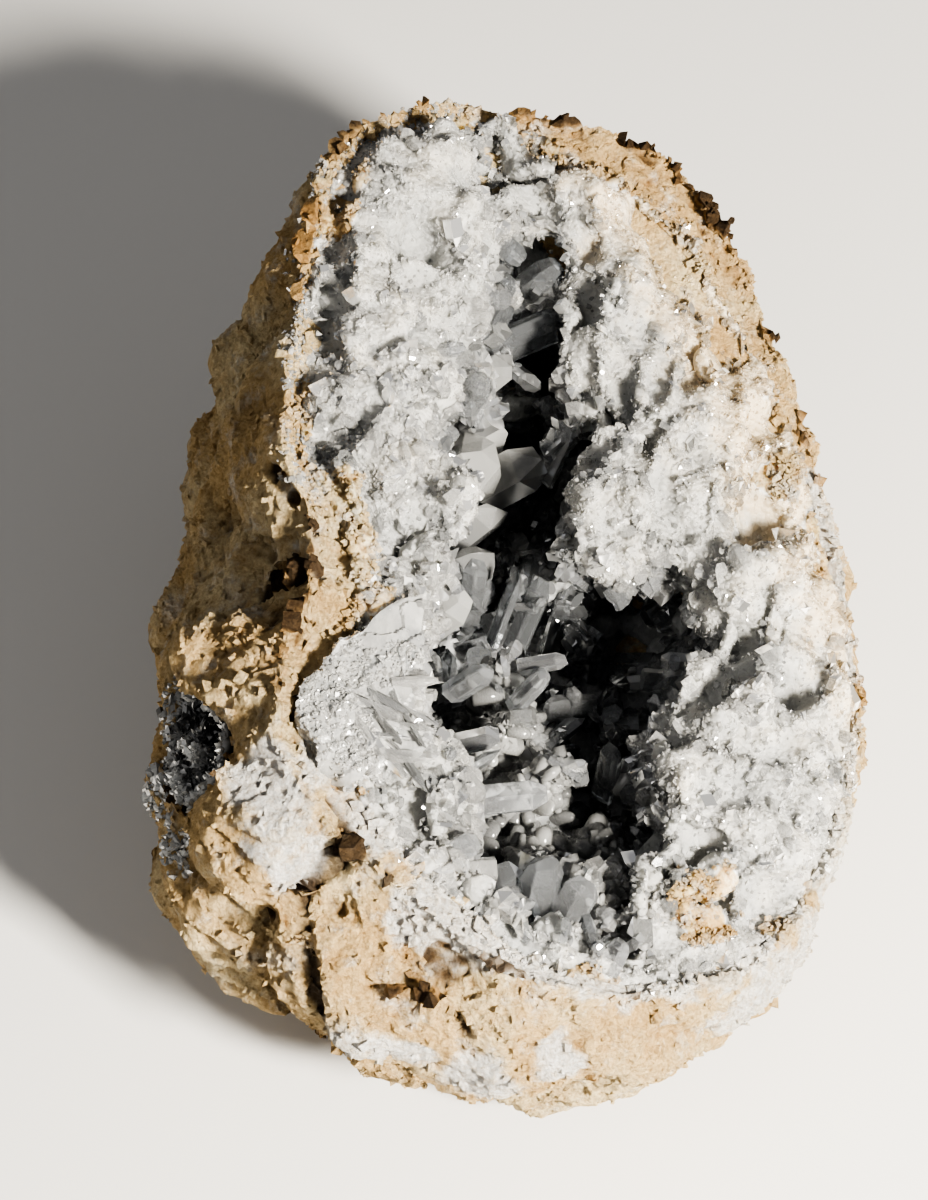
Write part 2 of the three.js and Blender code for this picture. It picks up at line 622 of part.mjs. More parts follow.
// Crystals strewn over a surface, no two closer than the spacing, each leaning a little its own way.
function strewnCrystals(surface, { count, spacing, length, width, lean }, { accepts, side, seed }) {
  const { random, within } = stream(seed);
  const sampler = new MeshSurfaceSampler(new THREE.Mesh(surface)).setRandomGenerator(random).build();
  const places = [];
  const crystals = [];
  for (let tries = 0; tries < TRIES_PER_CRYSTAL * count && crystals.length < count; tries++) {
    const place = new THREE.Vector3();
    const direction = new THREE.Vector3();
    sampler.sample(place, direction);
    if (!accepts(place) || places.some((other) => other.distanceTo(place) < spacing)) continue;
    places.push(place);
    const tilt = new THREE.Vector3(random() - 0.5, random() - 0.5, random() - 0.5);
    direction.multiplyScalar(side).addScaledVector(tilt, 2 * lean).normalize();
    const across = within(width);
    const crystal = prism(within(length), across, across * within(CRYSTAL.thickness));
    crystals.push(placed(crystal, place, direction, random() * Math.PI));
  }
  return crystals;
}

// ---- the crystal crust -----------------------------------------------------------------------------

const pointDraws = stream(SEEDS.points);

// How far the crust's face stands out at a point: in rounded heads, with a crystal's point on many.
function crustRelief(p) {
  const heads = 1 - 2 * Math.abs(layeredNoise(crystalNoise, p, CRUST_LUMPS.size));
  const point = pointDraws.random() < CRUST_POINTS.share ? pointDraws.within(CRUST_POINTS.height) : 0;
  return CRUST_LUMPS.height * heads + point + relief(p, CRYSTAL_HEADS);
}

const crustBackRows = loft(rockInsideRings, INSIDE_ROWS, HIDDEN_COLUMNS).slice(1).reverse();
const firstFacePoint = 1 + crustBackRows.length * HIDDEN_COLUMNS;

// The share of the relief that a point of the crust takes: none on its back, all of it past its edge.
function reliefShare(i) {
  if (i < firstFacePoint) return 0;
  return CRUST_EDGE_SHARES[Math.floor((i - firstFacePoint) / COLUMNS)] ?? 1;
}

const lumpyCrust = swell(
  rowsGeometry([
    [new THREE.Vector3(...hollowMiddle, HOLLOW.floor - CRUST_ROOT)],
    ...crustBackRows,
    ...thinned(loft(crustFaceRings, CRUST_ROWS, COLUMNS), CRUST_FLOOR_ROWS),
    [new THREE.Vector3(...hollowMiddle, HOLLOW.floor + CRUST_THICKNESS)],
  ]),
  (p, i) => (reliefShare(i) > 0 ? reliefShare(i) * crustRelief(p) : 0),
);

// The part of the crust's mesh that crystals grow on.
function crustFace() {
  const face = lumpyCrust.clone();
  const corners = [...lumpyCrust.index.array];
  const onFace = (corner) => corner >= firstFacePoint;
  const kept = [];
  for (let i = 0; i < corners.length; i += 3) {
    const triangle = corners.slice(i, i + 3);
    if (triangle.every(onFace)) kept.push(...triangle);
  }
  face.setIndex(kept);
  return face.toNonIndexed();
}

function crystalCrust() {
  const face = crustFace();
  const pieces = CRYSTAL_MOUNDS.map((size) => solid(lump(size, crystalNoise)));
  pieces.push(
    ...strewnCrystals(face, HOLLOW_CRYSTALS, {
      accepts: (p) => belowRim(p) >= RIM_DEPTH,
      side: 1,
      seed: SEEDS.hollow,
    }),
    ...LARGE_CRYSTALS.map(({ from, to, width, thickness }) => {
      const along = vector(to).sub(vector(from));
      const crystal = prism(along.length(), width, thickness);
      return placed(crystal, vector(from), along.normalize(), LARGE_CRYSTAL_ROLL);
    }),
  );
  let crust = solid(lumpyCrust);
  for (const piece of pieces) crust = crust.add(piece);
  return crust.subtract(rockSolid(CONTACT_GAP));
}

// ---- the flank pocket's crystals -------------------------------------------------------------------

function pocketCrystals() {
  const outwards = vector(POCKET.outwards);
  const lining = grown(pocketSpace, -CONTACT_GAP);
  const face = swell(pocketSpace, () => -POCKET.wall);
  face.translate(...POCKET.outwards);
  const allowed = solid(lining);
  const crystals = strewnCrystals(face.toNonIndexed(), POCKET_CRYSTALS, {
    accepts: (p) => p.clone().sub(vector(POCKET.at)).dot(outwards) < 0,
    side: -1,
    seed: SEEDS.pocket,
  });
  let crust = allowed.subtract(solid(face)).intersect(wholeRock);
  for (const crystal of crystals) crust = crust.add(crystal.intersect(allowed));
  return crust;
}

// ---- the geode -------------------------------------------------------------------------------------

const geode = new THREE.Group();

function addPiece(name, shape, colour, roughness) {
  const material = new THREE.MeshStandardMaterial({ color: colour, roughness, metalness: 0 });
  const mesh = new THREE.Mesh(geometryOf(shape), material);
  mesh.name = name;
  geode.add(mesh);
}

addPiece("rind", rind, ROCK_TAN, 0.9);
addPiece("crystal_crust", crystalCrust(), CRYSTAL_GREY, 0.25);
addPiece("pocket_crystals", pocketCrystals(), POCKET_GREY, 0.35);

const box = new THREE.Box3().setFromObject(geode);
const middle = box.getCenter(new THREE.Vector3());
geode.position.set(-middle.x, -middle.y, -box.min.z);

export default geode;
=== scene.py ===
# A celestite geode, broken open: a cup of pale, crumbly limestone that carries a crust of fused celestite.
# Sugary small crystals cover the broken rim, longer clear prisms stand in the hollow, and a small pocket of
# dull crystals opens in the left flank. Metres, +Z up, with the narrow end of the egg towards +Y.

import math

import bpy
import numpy as np
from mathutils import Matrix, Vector, noise
from mathutils.bvhtree import BVHTree


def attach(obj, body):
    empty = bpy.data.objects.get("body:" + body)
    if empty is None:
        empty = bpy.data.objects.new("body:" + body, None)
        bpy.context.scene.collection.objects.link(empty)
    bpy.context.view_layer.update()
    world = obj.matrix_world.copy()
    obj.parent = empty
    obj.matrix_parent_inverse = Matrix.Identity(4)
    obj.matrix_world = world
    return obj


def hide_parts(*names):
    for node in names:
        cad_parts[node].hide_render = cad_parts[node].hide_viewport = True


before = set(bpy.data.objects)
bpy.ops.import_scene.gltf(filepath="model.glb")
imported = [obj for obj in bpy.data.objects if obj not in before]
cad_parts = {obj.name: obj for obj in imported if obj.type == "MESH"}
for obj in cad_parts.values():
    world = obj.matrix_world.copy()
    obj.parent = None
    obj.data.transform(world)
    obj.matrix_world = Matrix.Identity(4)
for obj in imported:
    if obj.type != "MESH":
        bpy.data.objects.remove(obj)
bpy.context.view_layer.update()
MM = 0.001

# ---- camera ----
# It stands in front of the broad end and looks down into the hollow with a long lens.

LOOK_AT = Vector((-8.74, 0.44, 45)) * MM
CAMERA_DISTANCE = 0.7
CAMERA_ELEVATION = math.radians(54)

towards_camera = Vector((0, -math.cos(CAMERA_ELEVATION), math.sin(CAMERA_ELEVATION)))
bpy.ops.object.camera_add(location=LOOK_AT + towards_camera * CAMERA_DISTANCE)
camera = bpy.context.object
camera.rotation_euler = towards_camera.to_track_quat("Z", "Y").to_euler()
camera.data.lens = 105
camera.data.sensor_width = 36
camera.data.clip_end = 20
bpy.context.scene.camera = camera

# ---- table and light ----
# A plain pale table, a small softbox to the right of the camera, a wide weak one on the left and an even,
# pale surround.

bpy.ops.mesh.primitive_plane_add(size=6, location=(0, 0, 0))
table = bpy.context.object
table.name = "table"

table_paint = bpy.data.materials.new("pale table")
table_paint.use_nodes = True
table_shader = table_paint.node_tree.nodes["Principled BSDF"]
table_shader.inputs["Base Color"].default_value = (0.56, 0.55, 0.53, 1)
table_shader.inputs["Roughness"].default_value = 0.7
table.data.materials.append(table_paint)


def softbox(name, place, size, power, colour):
    """A square light at a place, facing the geode."""
    bpy.ops.object.light_add(type="AREA", location=place)
    box = bpy.context.object
    box.name = name
    box.rotation_euler = (Vector(place) - LOOK_AT).to_track_quat("Z", "Y").to_euler()
    box.data.size = size
    box.data.energy = power
    box.data.color = colour


softbox("key light", (0.53, -0.58, 0.59), 0.14, 39, (1, 0.95, 0.86))
softbox("fill light", (-0.7, -0.5, 0.9), 0.9, 2.7, (1, 0.98, 0.95))

surround = bpy.data.worlds.new("surround")
surround.use_nodes = True
surround.node_tree.nodes["Background"].inputs["Color"].default_value = (0.98, 0.98, 1, 1)
surround.node_tree.nodes["Background"].inputs["Strength"].default_value = 0.22
bpy.context.scene.world = surround

view = bpy.context.scene.view_settings
view.view_transform = "AgX"
view.look = "AgX - High Contrast"

# ---- limestone ----
# The rind: one broken cup of pale tan limestone, chalky in places, with crumbling ledges. Its skin is laid
# evenly over the rock of the frame, is roughened at several sizes, and stays coarse where crystals hide it.

ROCK_VOXEL = 1.1 * MM


def alone(piece):
    """Selects one piece and nothing else."""
    bpy.ops.object.select_all(action="DESELECT")
    piece.select_set(True)
    bpy.context.view_layer.objects.active = piece


def applied(piece, modifier):
    """Applies a modifier that was just added to a piece."""
    alone(piece)
    bpy.ops.object.modifier_apply(modifier=modifier.name)


def evened(piece, voxel):
    """Gives a piece a closed skin of even faces."""
    remesh = piece.modifiers.new("skin", "REMESH")
    remesh.mode = "VOXEL"
    remesh.voxel_size = voxel
    applied(piece, remesh)


def skin_over(node, name, voxel):
    """A closed skin of even faces over one node of the frame."""
    piece = bpy.data.objects.new(name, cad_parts[node].data.copy())
    bpy.context.collection.objects.link(piece)
    piece.data.materials.clear()
    alone(piece)
    bpy.ops.object.mode_set(mode="EDIT")
    bpy.ops.mesh.select_all(action="SELECT")
    bpy.ops.mesh.remove_doubles(threshold=0.001 * MM)
    bpy.ops.object.mode_set(mode="OBJECT")
    evened(piece, voxel)
    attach(piece, "root")
    return piece


def points_of(piece):
    """The places and normals of a piece's vertices, as two arrays."""
    count = len(piece.data.vertices)
    places = np.empty(count * 3, np.float32)
    normals = np.empty(count * 3, np.float32)
    piece.data.vertices.foreach_get("co", places)
    piece.data.vertex_normals.foreach_get("vector", normals)
    return places.reshape(-1, 3), normals.reshape(-1, 3)


def move_points(piece, places):
    """Puts a piece's vertices at these places."""
    piece.data.vertices.foreach_set("co", places.astype(np.float32).ravel())
    piece.data.update()


def push_out(piece, heights):
    """Moves a piece's vertices out along their normals, by heights in mm."""
    places, normals = points_of(piece)
    move_points(piece, places + normals * (heights * MM)[:, None])


def weigh(piece, name, weights):
    """Makes a vertex group, in steps of a fiftieth, which limits where a modifier works."""
    group = piece.vertex_groups.new(name=name)
    steps = np.round(np.clip(weights, 0, 1) * 50).astype(int)
    for step in range(1, 51):
        chosen = np.flatnonzero(steps == step)
        if len(chosen):
            group.add(chosen.tolist(), step / 50, "REPLACE")


def keep(piece, name, values):
    """Keeps one number for each vertex as an attribute that materials read."""
    made = piece.data.attributes.new(name, "FLOAT", "POINT")
    made.data.foreach_set("value", np.asarray(values, np.float32))


def roughen(piece, kind, size, height, group, middle=0.5, **settings):
    """Raises and lowers a piece's skin by a pattern of this grain size and height, within a group."""
    pattern = bpy.data.textures.new(f"{piece.name} {kind} {size}", kind)
    pattern.noise_scale = size * MM
    for name, value in settings.items():
        setattr(pattern, name, value)
    push = piece.modifiers.new("relief", "DISPLACE")
    push.texture = pattern
    push.texture_coords = "LOCAL"
    push.strength = height * MM
    push.mid_level = middle
    push.vertex_group = group
    applied(piece, push)


def coarsened(piece, chosen, share):
    """Leaves only a share of the faces where these vertices are, because nothing shows there."""
    alone(piece)
    piece.data.polygons.foreach_set("select", np.zeros(len(piece.data.polygons), bool))
    piece.data.vertices.foreach_set("select", chosen)
    bpy.ops.object.mode_set(mode="EDIT")
    bpy.ops.mesh.select_mode(type="VERT")
    bpy.ops.mesh.decimate(ratio=share)
    bpy.ops.object.mode_set(mode="OBJECT")


def cloudy(places, size, octaves=3, shift=0):
    """Cloudy noise at each place, about -1 to 1, in grains of this size in mm. Shift gives another one."""
    scale = 1 / (size * MM)
    moved = Vector((shift, shift, shift))
    return np.array([noise.fractal(Vector(p) * scale + moved, 1, 2, octaves) for p in places])


def strayed(places, reach, size, octaves=3, shift=0):
    """The places, each moved by cloudy noise of this reach in mm."""
    moves = [cloudy(places, size, octaves, shift + axis) for axis in range(3)]
    return places + reach * MM * np.stack(moves, axis=1)


def smoothstep(values, start, end):
    """0 before start, 1 after end, and a smooth step between them."""
    share = np.clip((values - start) / (end - start), 0, 1)
    return share * share * (3 - 2 * share)


def near(places, spots):
    """For each place, how much it lies within the nearest of these spots, each (x, y, z, reach) in mm."""
    most = np.zeros(len(places))
    for *centre, reach in spots:
        away = np.linalg.norm(places / MM - np.array(centre), axis=1)
        most = np.maximum(most, 1 - smoothstep(away, 0.35 * reach, reach))
    return most


def along(places, line, width):
    """How much each place lies in a groove of this width in mm, along a line of points: 1 in its middle."""
    points = np.array(line) * MM
    nearest = np.full(len(places), 1.0)
    for start, end in zip(points[:-1], points[1:]):
        way = end - start
        share = np.clip((places - start) @ way / (way @ way), 0, 1)
        away = np.linalg.norm(places - start - share[:, None] * way, axis=1)
        nearest = np.minimum(nearest, away)
    return np.clip(1 - nearest / (width / 2 * MM), 0, 1)


def tree_of(node):
    """What finds the nearest point on one node of the frame."""
    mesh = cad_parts[node].data
    return BVHTree.FromPolygons([v.co for v in mesh.vertices], [p.vertices for p in mesh.polygons])


# How far away another node's faces are looked for, how near counts as touching them, and how far they
# cover what lies behind them.
FARTHEST = 12 * MM
TOUCHING = 0.4 * MM
COVER_REACH = 2.6 * MM


def distance_to(tree, places):
    """How far each place is from a node's faces, up to FARTHEST."""
    found = np.full(len(places), FARTHEST, np.float32)
    for index, place in enumerate(places):
        hit = tree.find_nearest(place, FARTHEST)
        if hit[0] is not None:
            found[index] = hit[3]
    return found


def sunk(piece, rounds):
    """How far each vertex lies under the mean of the skin round it, in mm. Ridges come out below 0."""
    places, normals = points_of(piece)
    ends = np.empty(len(piece.data.edges) * 2, np.int32)
    piece.data.edges.foreach_get("vertices", ends)
    ends = ends.reshape(-1, 2)
    here, there = np.concatenate([ends, ends[:, ::-1]]).T
    number = np.bincount(here)[:, None]
    mean = places.astype(np.float64)
    for _ in range(rounds):
        total = np.stack([np.bincount(here, mean[there, axis]) for axis in range(3)], axis=1)
        mean = 0.5 * mean + 0.5 * total / number
    return ((mean - places) * normals).sum(axis=1) / MM


def covered(tree, places, normals, chosen):
    """Which of the chosen places have a node's faces from 1 mm behind them to COVER_REACH further out, so
    that nothing shows there."""
    found = np.zeros(len(places), bool)
    for index in np.flatnonzero(chosen):
        way = Vector(normals[index])
        hit = tree.ray_cast(Vector(places[index]) - way * MM, way, COVER_REACH)
        found[index] = hit[0] is not None
    return found


crust_tree = tree_of("crystal_crust")
rind_tree = tree_of("rind")

# The chalk-white lobes, each with its reach in mm.
CHALK_SPOTS = [
    (-45, -66, 79, 13), (-42, -61, 80, 8), (-39, -79, 73, 9), (-11, -91, 68, 12), (-18, -87, 70, 9),
    (-5, -103, 38, 12), (-21, -100, 44, 9), (45, -87, 36, 12), (55, -75, 38, 13), (62, -58, 40, 13),
    (66, -40, 40, 12), (-33, -62, 82, 6), (-13, -91, 70, 9), (-28, -102, 44, 10), (9, -105, 47, 8),
    (47, -86, 37, 12), (60, -70, 28, 12),
]
CHALK_WANDER = 6

# The rugged, crumbling parts of the rock, each with its reach in mm.
RUGGED_SPOTS = [
    (34, 84, 74, 22), (52, 64, 64, 20), (12, 92, 86, 12), (-34, 60, 92, 14), (-30, 75, 92, 12),
    (-36, -14, 86, 16), (-44, -34, 83, 16), (-38, -50, 82, 12), (-40, -88, 62, 14), (-16, -92, 62, 14),
]

# Fissures in the rock: each a line of points, its width and its depth in mm.
FISSURES = [
    ([(-25, -29, 83), (-31, -36, 84), (-36, -41, 83), (-39, -48, 83), (-39.5, -57, 82)], 2.6, 1.2),
    ([(-39.5, -57, 82), (-34, -62, 80), (-32, -67, 79), (-30, -69, 78)], 2.8, 1.4),
    (
        [(-30, -68, 78), (-28.5, -72, 77), (-29, -76, 76), (-32, -79, 74), (-37, -83, 70), (-42, -84, 67)],
        8,
        2.8,
    ),
    ([(-37, -83, 69), (-39, -88, 61), (-38, -94, 54), (-37, -97, 44)], 8, 2.6),
    ([(-22, -80, 74), (-20, -83, 74), (-19, -86, 72)], 3.6, 1.6),
    ([(-47, 2, 86), (-44, -4, 88), (-40, -10, 88), (-36, -15, 87)], 5, 2.4),
    ([(-56, -28, 73), (-49, -20, 80), (-43, -19, 84), (-37, -22, 85)], 5.5, 2.4),
    ([(-12, -97, 60), (-10, -100, 55), (-9, -102, 51)], 4.4, 1.8),
    ([(-20, -95, 61), (-26, -93, 63), (-31, -89, 65)], 4, 1.6),
    ([(4, 95, 86), (18, 92, 82), (30, 86, 78)], 4.5, 2),
    ([(24, 94, 80), (38, 84, 76), (50, 70, 68), (56, 58, 64)], 5, 2.4),
    ([(44, 84, 68), (54, 72, 62), (60, 56, 56)], 5, 2.2),
]
FISSURE_WANDER = 1.2

# Kinds of relief: rounded lumps or hollows, sharp ridges, and flat pieces with cracks between them.
ROUNDED = {"distance_metric": "DISTANCE_SQUARED"}
JAGGED = {"noise_basis": "ORIGINAL_PERLIN", "noise_depth": 3, "noise_type": "HARD_NOISE"}
CRACKED = {"weight_1": -1, "weight_2": 1}

rock = skin_over("rind", "limestone", ROCK_VOXEL)
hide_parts("rind")

first_places, first_normals = points_of(rock)
to_crust = distance_to(crust_tree, first_places)
above_foot = smoothstep(first_places[:, 2], 1 * MM, 7 * MM)
hidden = covered(crust_tree, first_places, first_normals, to_crust < TOUCHING)
open_share = above_foot * (0.3 + 0.7 * smoothstep(to_crust, TOUCHING, 3 * MM)) * ~hidden
chalk_share = near(strayed(first_places, CHALK_WANDER, 14, shift=11), CHALK_SPOTS)
crumbling = (0.35 + 0.65 * smoothstep(cloudy(first_places, 24), -0.1, 0.35)) * (1 - 0.6 * chalk_share)
rugged = near(first_places + 4 * MM * cloudy(first_places, 12, octaves=2)[:, None], RUGGED_SPOTS)
weigh(rock, "open", open_share)
weigh(rock, "crumbly", open_share * crumbling)
weigh(rock, "rugged", open_share * rugged)

roughen(rock, "VORONOI", 19, -4.4, "open", middle=0.3, **ROUNDED)
roughen(rock, "CLOUDS", 9, 1.2, "open", **JAGGED)
roughen(rock, "CLOUDS", 15, 4, "open", noise_depth=1)
roughen(rock, "VORONOI", 9, 2.2, "crumbly", middle=0.3, **CRACKED)
roughen(rock, "VORONOI", 3.2, 0.9, "crumbly", middle=0.3, **CRACKED)
roughen(rock, "VORONOI", 8, 4.2, "rugged", middle=0.35, **CRACKED)
roughen(rock, "CLOUDS", 5, 1.6, "rugged", **JAGGED)

# Flakes: the surface climbs slowly and drops in small sharp steps, and on the left flank and at the back
# in wavy ledges of bedding.
FLAKE_SIZE = 19
FLAKES = 6
FLAKE_HEIGHT = 0.9
LEDGE_PITCH = 4.6
LEDGE_DEPTH = 1.3
LEDGE_WANDER = 4.5

places, normals = points_of(rock)
flakes = np.mod(FLAKES * cloudy(places, FLAKE_SIZE, shift=9), 1) - 0.5
level = places[:, 2] / MM + LEDGE_WANDER * cloudy(places, 29, octaves=2)
ledges = 0.5 - np.mod(level, LEDGE_PITCH) / LEDGE_PITCH
on_flank = smoothstep(-places[:, 0] / MM, 15, 40) * (1 - smoothstep(normals[:, 2], 0.4, 0.8))
bedded = smoothstep(cloudy(places, 45, octaves=1, shift=5), -0.15, 0.3) * on_flank
push_out(rock, open_share * (FLAKE_HEIGHT * flakes * (1 - bedded) + LEDGE_DEPTH * ledges * bedded))

places, _ = points_of(rock)
wandering = strayed(places, FISSURE_WANDER, 7, octaves=2, shift=1)
fissured = np.zeros(len(places))
thick = smoothstep(to_crust, 1 * MM, 5 * MM)
for line, width, depth in FISSURES:
    groove = along(wandering, line, width)
    fissured = np.maximum(fissured, groove)
    push_out(rock, -depth * smoothstep(groove, 0, 0.8) * open_share * thick)

# Where the wall is thin, the relief stops short of the crust behind it, and it stops at the foot.
THINNEST_WALL = 1 * MM
places, _ = points_of(rock)
pushed = ((places - first_places) * first_normals).sum(axis=1)
most = np.maximum(to_crust - THINNEST_WALL, 0)
places += (np.maximum(-most - pushed, 0) * ~hidden)[:, None] * first_normals
places[:, 2] = np.maximum(places[:, 2], 0)
move_points(rock, places)

# Chalk also runs along the crust's edge at the front and on the right.
front_right = smoothstep((places[:, 0] - places[:, 1]) / MM, 10, 60)
edge_chalk = (1 - smoothstep(to_crust / MM + 7 * cloudy(places, 15, shift=2), 0.5, 6)) * front_right
# Pits and crevices measure how sunk the rock lies, in small pits, broad recesses and fissures: the look
# paints shade there, and a brown stain in the crevices as well.
rock_kept = {
    "chalk": np.maximum(chalk_share, edge_chalk),
    "pits": np.where(hidden, 0.5, 0.5 + 0.7 * sunk(rock, 6)),
    "crevices": np.where(hidden, 0.5, 0.5 + (0.2 * sunk(rock, 60) + 0.5 * fissured) * thick),
    "browned": rugged,
}
for name, values in rock_kept.items():
    keep(rock, name, values)
rock_places, rock_normals = points_of(rock)
coarsened(rock, hidden, share=0.1)
bpy.ops.object.shade_smooth_by_angle(angle=math.radians(32))


class Recipe:
    """The nodes of a material or of a node group, written as short calls."""

    def __init__(self, name, group=False):
        if group:
            self.tree = bpy.data.node_groups.new(name, "ShaderNodeTree")
        else:
            self.material = bpy.data.materials.new(name)
            self.material.use_nodes = True
            self.tree = self.material.node_tree
            self.shader = self.tree.nodes["Principled BSDF"]

    def fill(self, sockets, values):
        """Gives each of these sockets a plain value, or links another node's socket to it."""
        for key, value in dict(values).items():
            if isinstance(value, bpy.types.NodeSocket):
                self.tree.links.new(value, sockets[key])
            else:
                sockets[key].default_value = value

    def node(self, kind, inputs=(), **settings):
        """Adds a node. Each input is a value or another node's socket."""
        made = self.tree.nodes.new("ShaderNode" + kind)
        for name, value in settings.items():
            setattr(made, name, value)
        self.fill(made.inputs, inputs)
        return made

    def place(self):
        """The place on the piece, in mm."""
        here = self.node("TexCoord").outputs["Object"]
        return self.node("VectorMath", {0: here, "Scale": 1000.0}, operation="SCALE").outputs[0]

    def noise(self, size, detail=4.0, roughness=0.55, at=None):
        """Cloudy noise of one grain size in mm, from 0 to 1."""
        inputs = {"Vector": at or self.place(), "Scale": 1 / size, "Detail": detail, "Roughness": roughness}
        return self.node("TexNoise", inputs).outputs["Fac"]

    def cells(self, size, at=None):
        """Distance from the middle of the nearest grain, for grains of one size in mm."""
        inputs = {"Vector": at or self.place(), "Scale": 1 / size}
        return self.node("TexVoronoi", inputs).outputs["Distance"]

    def value(self, name):
        """A number that the piece keeps for each vertex."""
        return self.node("Attribute", attribute_name=name).outputs["Fac"]

    def between(self, value, start, end, low=0.0, high=1.0):
        """A smooth step from low to high as the value goes from start to end."""
        inputs = {"Value": value, "From Min": start, "From Max": end, "To Min": low, "To Max": high}
        return self.node("MapRange", inputs, interpolation_type="SMOOTHSTEP").outputs["Result"]

    def maths(self, operation, first, second=0.0, third=0.0):
        """A sum on numbers."""
        inputs = {0: first, 1: second, 2: third}
        return self.node("Math", inputs, operation=operation).outputs[0]

    def blend(self, share, first, second, kind="MIX"):
        """A colour between two, each a socket or three plain numbers."""
        inputs = {0: share}
        for key, colour in ((6, first), (7, second)):
            inputs[key] = (*colour, 1) if isinstance(colour, tuple) else colour
        return self.node("Mix", inputs, data_type="RGBA", blend_type=kind).outputs[2]

    def feed(self, values):
        """Gives the shader's sockets their values, or what they are linked to."""
        self.fill(self.shader.inputs, values)

    def bumps(self, heights):
        """Feeds the shader's normal from bump nodes, one for each (height, depth in mm, strength)."""
        normal = None
        for height, depth, strength in heights:
            inputs = {"Height": height, "Distance": depth * MM, "Strength": strength}
            if normal:
                inputs["Normal"] = normal
            normal = self.node("Bump", inputs).outputs["Normal"]
        self.feed({"Normal": normal})

    def group_inputs(self, *names):
        """Gives a group its inputs, and returns their sockets."""
        for name in names:
            self.tree.interface.new_socket(name, in_out="INPUT", socket_type="NodeSocketFloat")
        return self.tree.nodes.new("NodeGroupInput").outputs

    def group_outputs(self, results):
        """Gives a group its outputs, each linked to what it puts out."""
        for name, value in results.items():
            kind = "NodeSocketColor" if value.type == "RGBA" else "NodeSocketFloat"
            self.tree.interface.new_socket(name, in_out="OUTPUT", socket_type=kind)
        self.fill(self.tree.nodes.new("NodeGroupOutput").inputs, results)


TAN = (0.80, 0.58, 0.30)
CREAM = (0.90, 0.74, 0.46)
CHALK = (0.95, 0.93, 0.88)
OCHRE = (0.60, 0.39, 0.18)
# Multiplied into the pits and the grain's low spots as painted shade.
PAINTED_SHADE = (0.62, 0.5, 0.37)
# The colour of crevices and fissures: a brown stain, darkened further as painted shade.
CREVICE_STAIN_AND_SHADE = (0.1, 0.073, 0.05)

# The look of the rock, for the limestone and for the stony patches of the crust: its colour, with painted
# shade in its pits, crevices and the low spots of its grain, and the heights of its lumps and of its grain.
look = Recipe("limestone look", group=True)
look_inputs = look.group_inputs("Chalk", "Crevices", "Pits", "Browned")
where = look.place()
broad = look.noise(26, 3, at=where)
medium = look.noise(6, 5, 0.6, at=where)
fine = look.noise(1.1, 6, 0.8, at=where)
colour = look.blend(look.between(broad, 0.4, 0.62), TAN, CREAM)
colour = look.blend(look.between(medium, 0.5, 0.75, 0, 0.6), colour, OCHRE)
browned = look.maths("MULTIPLY", look_inputs["Browned"], look.between(medium, 0.35, 0.6))
colour = look.blend(look.maths("MULTIPLY", browned, 0.4), colour, OCHRE)
colour = look.blend(look.between(look.noise(10, 6, 0.7, at=where), 0.5, 0.72, 0, 0.6), colour, CHALK)
mottled = look.maths("MULTIPLY", look.noise(5, 8, 0.75, at=where), 1.9)
chalk_edge = look.maths("ADD", look_inputs["Chalk"], mottled)
colour = look.blend(look.between(chalk_edge, 1.0, 1.65), colour, CHALK)
# Crevices and fissures go brown: partly a real stain, partly painted shade.
colour = look.blend(look.between(look_inputs["Crevices"], 0.62, 1.0, 0, 0.92), colour, CREVICE_STAIN_AND_SHADE)
# Painted shade in the pits; the ridges are made paler.
colour = look.blend(look.between(look_inputs["Pits"], 0.58, 1.1, 0, 0.8), colour, PAINTED_SHADE, "MULTIPLY")
colour = look.blend(look.between(look_inputs["Pits"], 0.42, 0.1, 0, 0.4), colour, CREAM)
# Painted shade in the low spots of the grain, where its bump is lowest.
colour = look.blend(look.between(fine, 0.34, 0.6, 0.6, 0), colour, PAINTED_SHADE, "MULTIPLY")
grit = look.maths("ADD", look.maths("MULTIPLY", look.cells(1.7, at=where), -0.45), fine)
look.group_outputs({"Colour": colour, "Lumps": medium, "Grain": grit})


def rock_look(recipe, chalk, crevices, pits, browned):
    """The limestone's look in a material: its sockets Colour, Lumps and Grain."""
    inputs = {"Chalk": chalk, "Crevices": crevices, "Pits": pits, "Browned": browned}
    return recipe.node("Group", node_tree=look.tree, inputs=inputs).outputs


stone = Recipe("limestone")
skin = rock_look(stone, *(stone.value(name) for name in ("chalk", "crevices", "pits", "browned")))
stone.feed({"Base Color": skin["Colour"], "Roughness": 0.95, "Specular IOR Level": 0.2})
stone.bumps([(skin["Lumps"], 2.4, 1), (skin["Grain"], 3, 1)])
rock.data.materials.append(stone.material)

# ---- crumbs of the rock ----
# Grains of limestone a millimetre or so wide that stick to the crumbling parts of the rock: lumps of a few
# flat faces, copied and joined, of the same stone.

CRUMB_KINDS = 3
CRUMB_COUNT = 5400
CRUMB_SINK = 0.12 * MM


def unit(vectors):
    """Vectors at length 1."""
    return vectors / np.linalg.norm(vectors, axis=-1, keepdims=True)


def shape_of(model):
    """A model's vertices, and its faces as counts and one run of indices. The model is then dropped."""
    mesh = model.data
    vertices = np.array([v.co for v in mesh.vertices])
    counts = np.array([len(p.vertices) for p in mesh.polygons])
    corners = np.concatenate([np.array(p.vertices) for p in mesh.polygons])
    bpy.data.objects.remove(model)
    return vertices, counts, corners


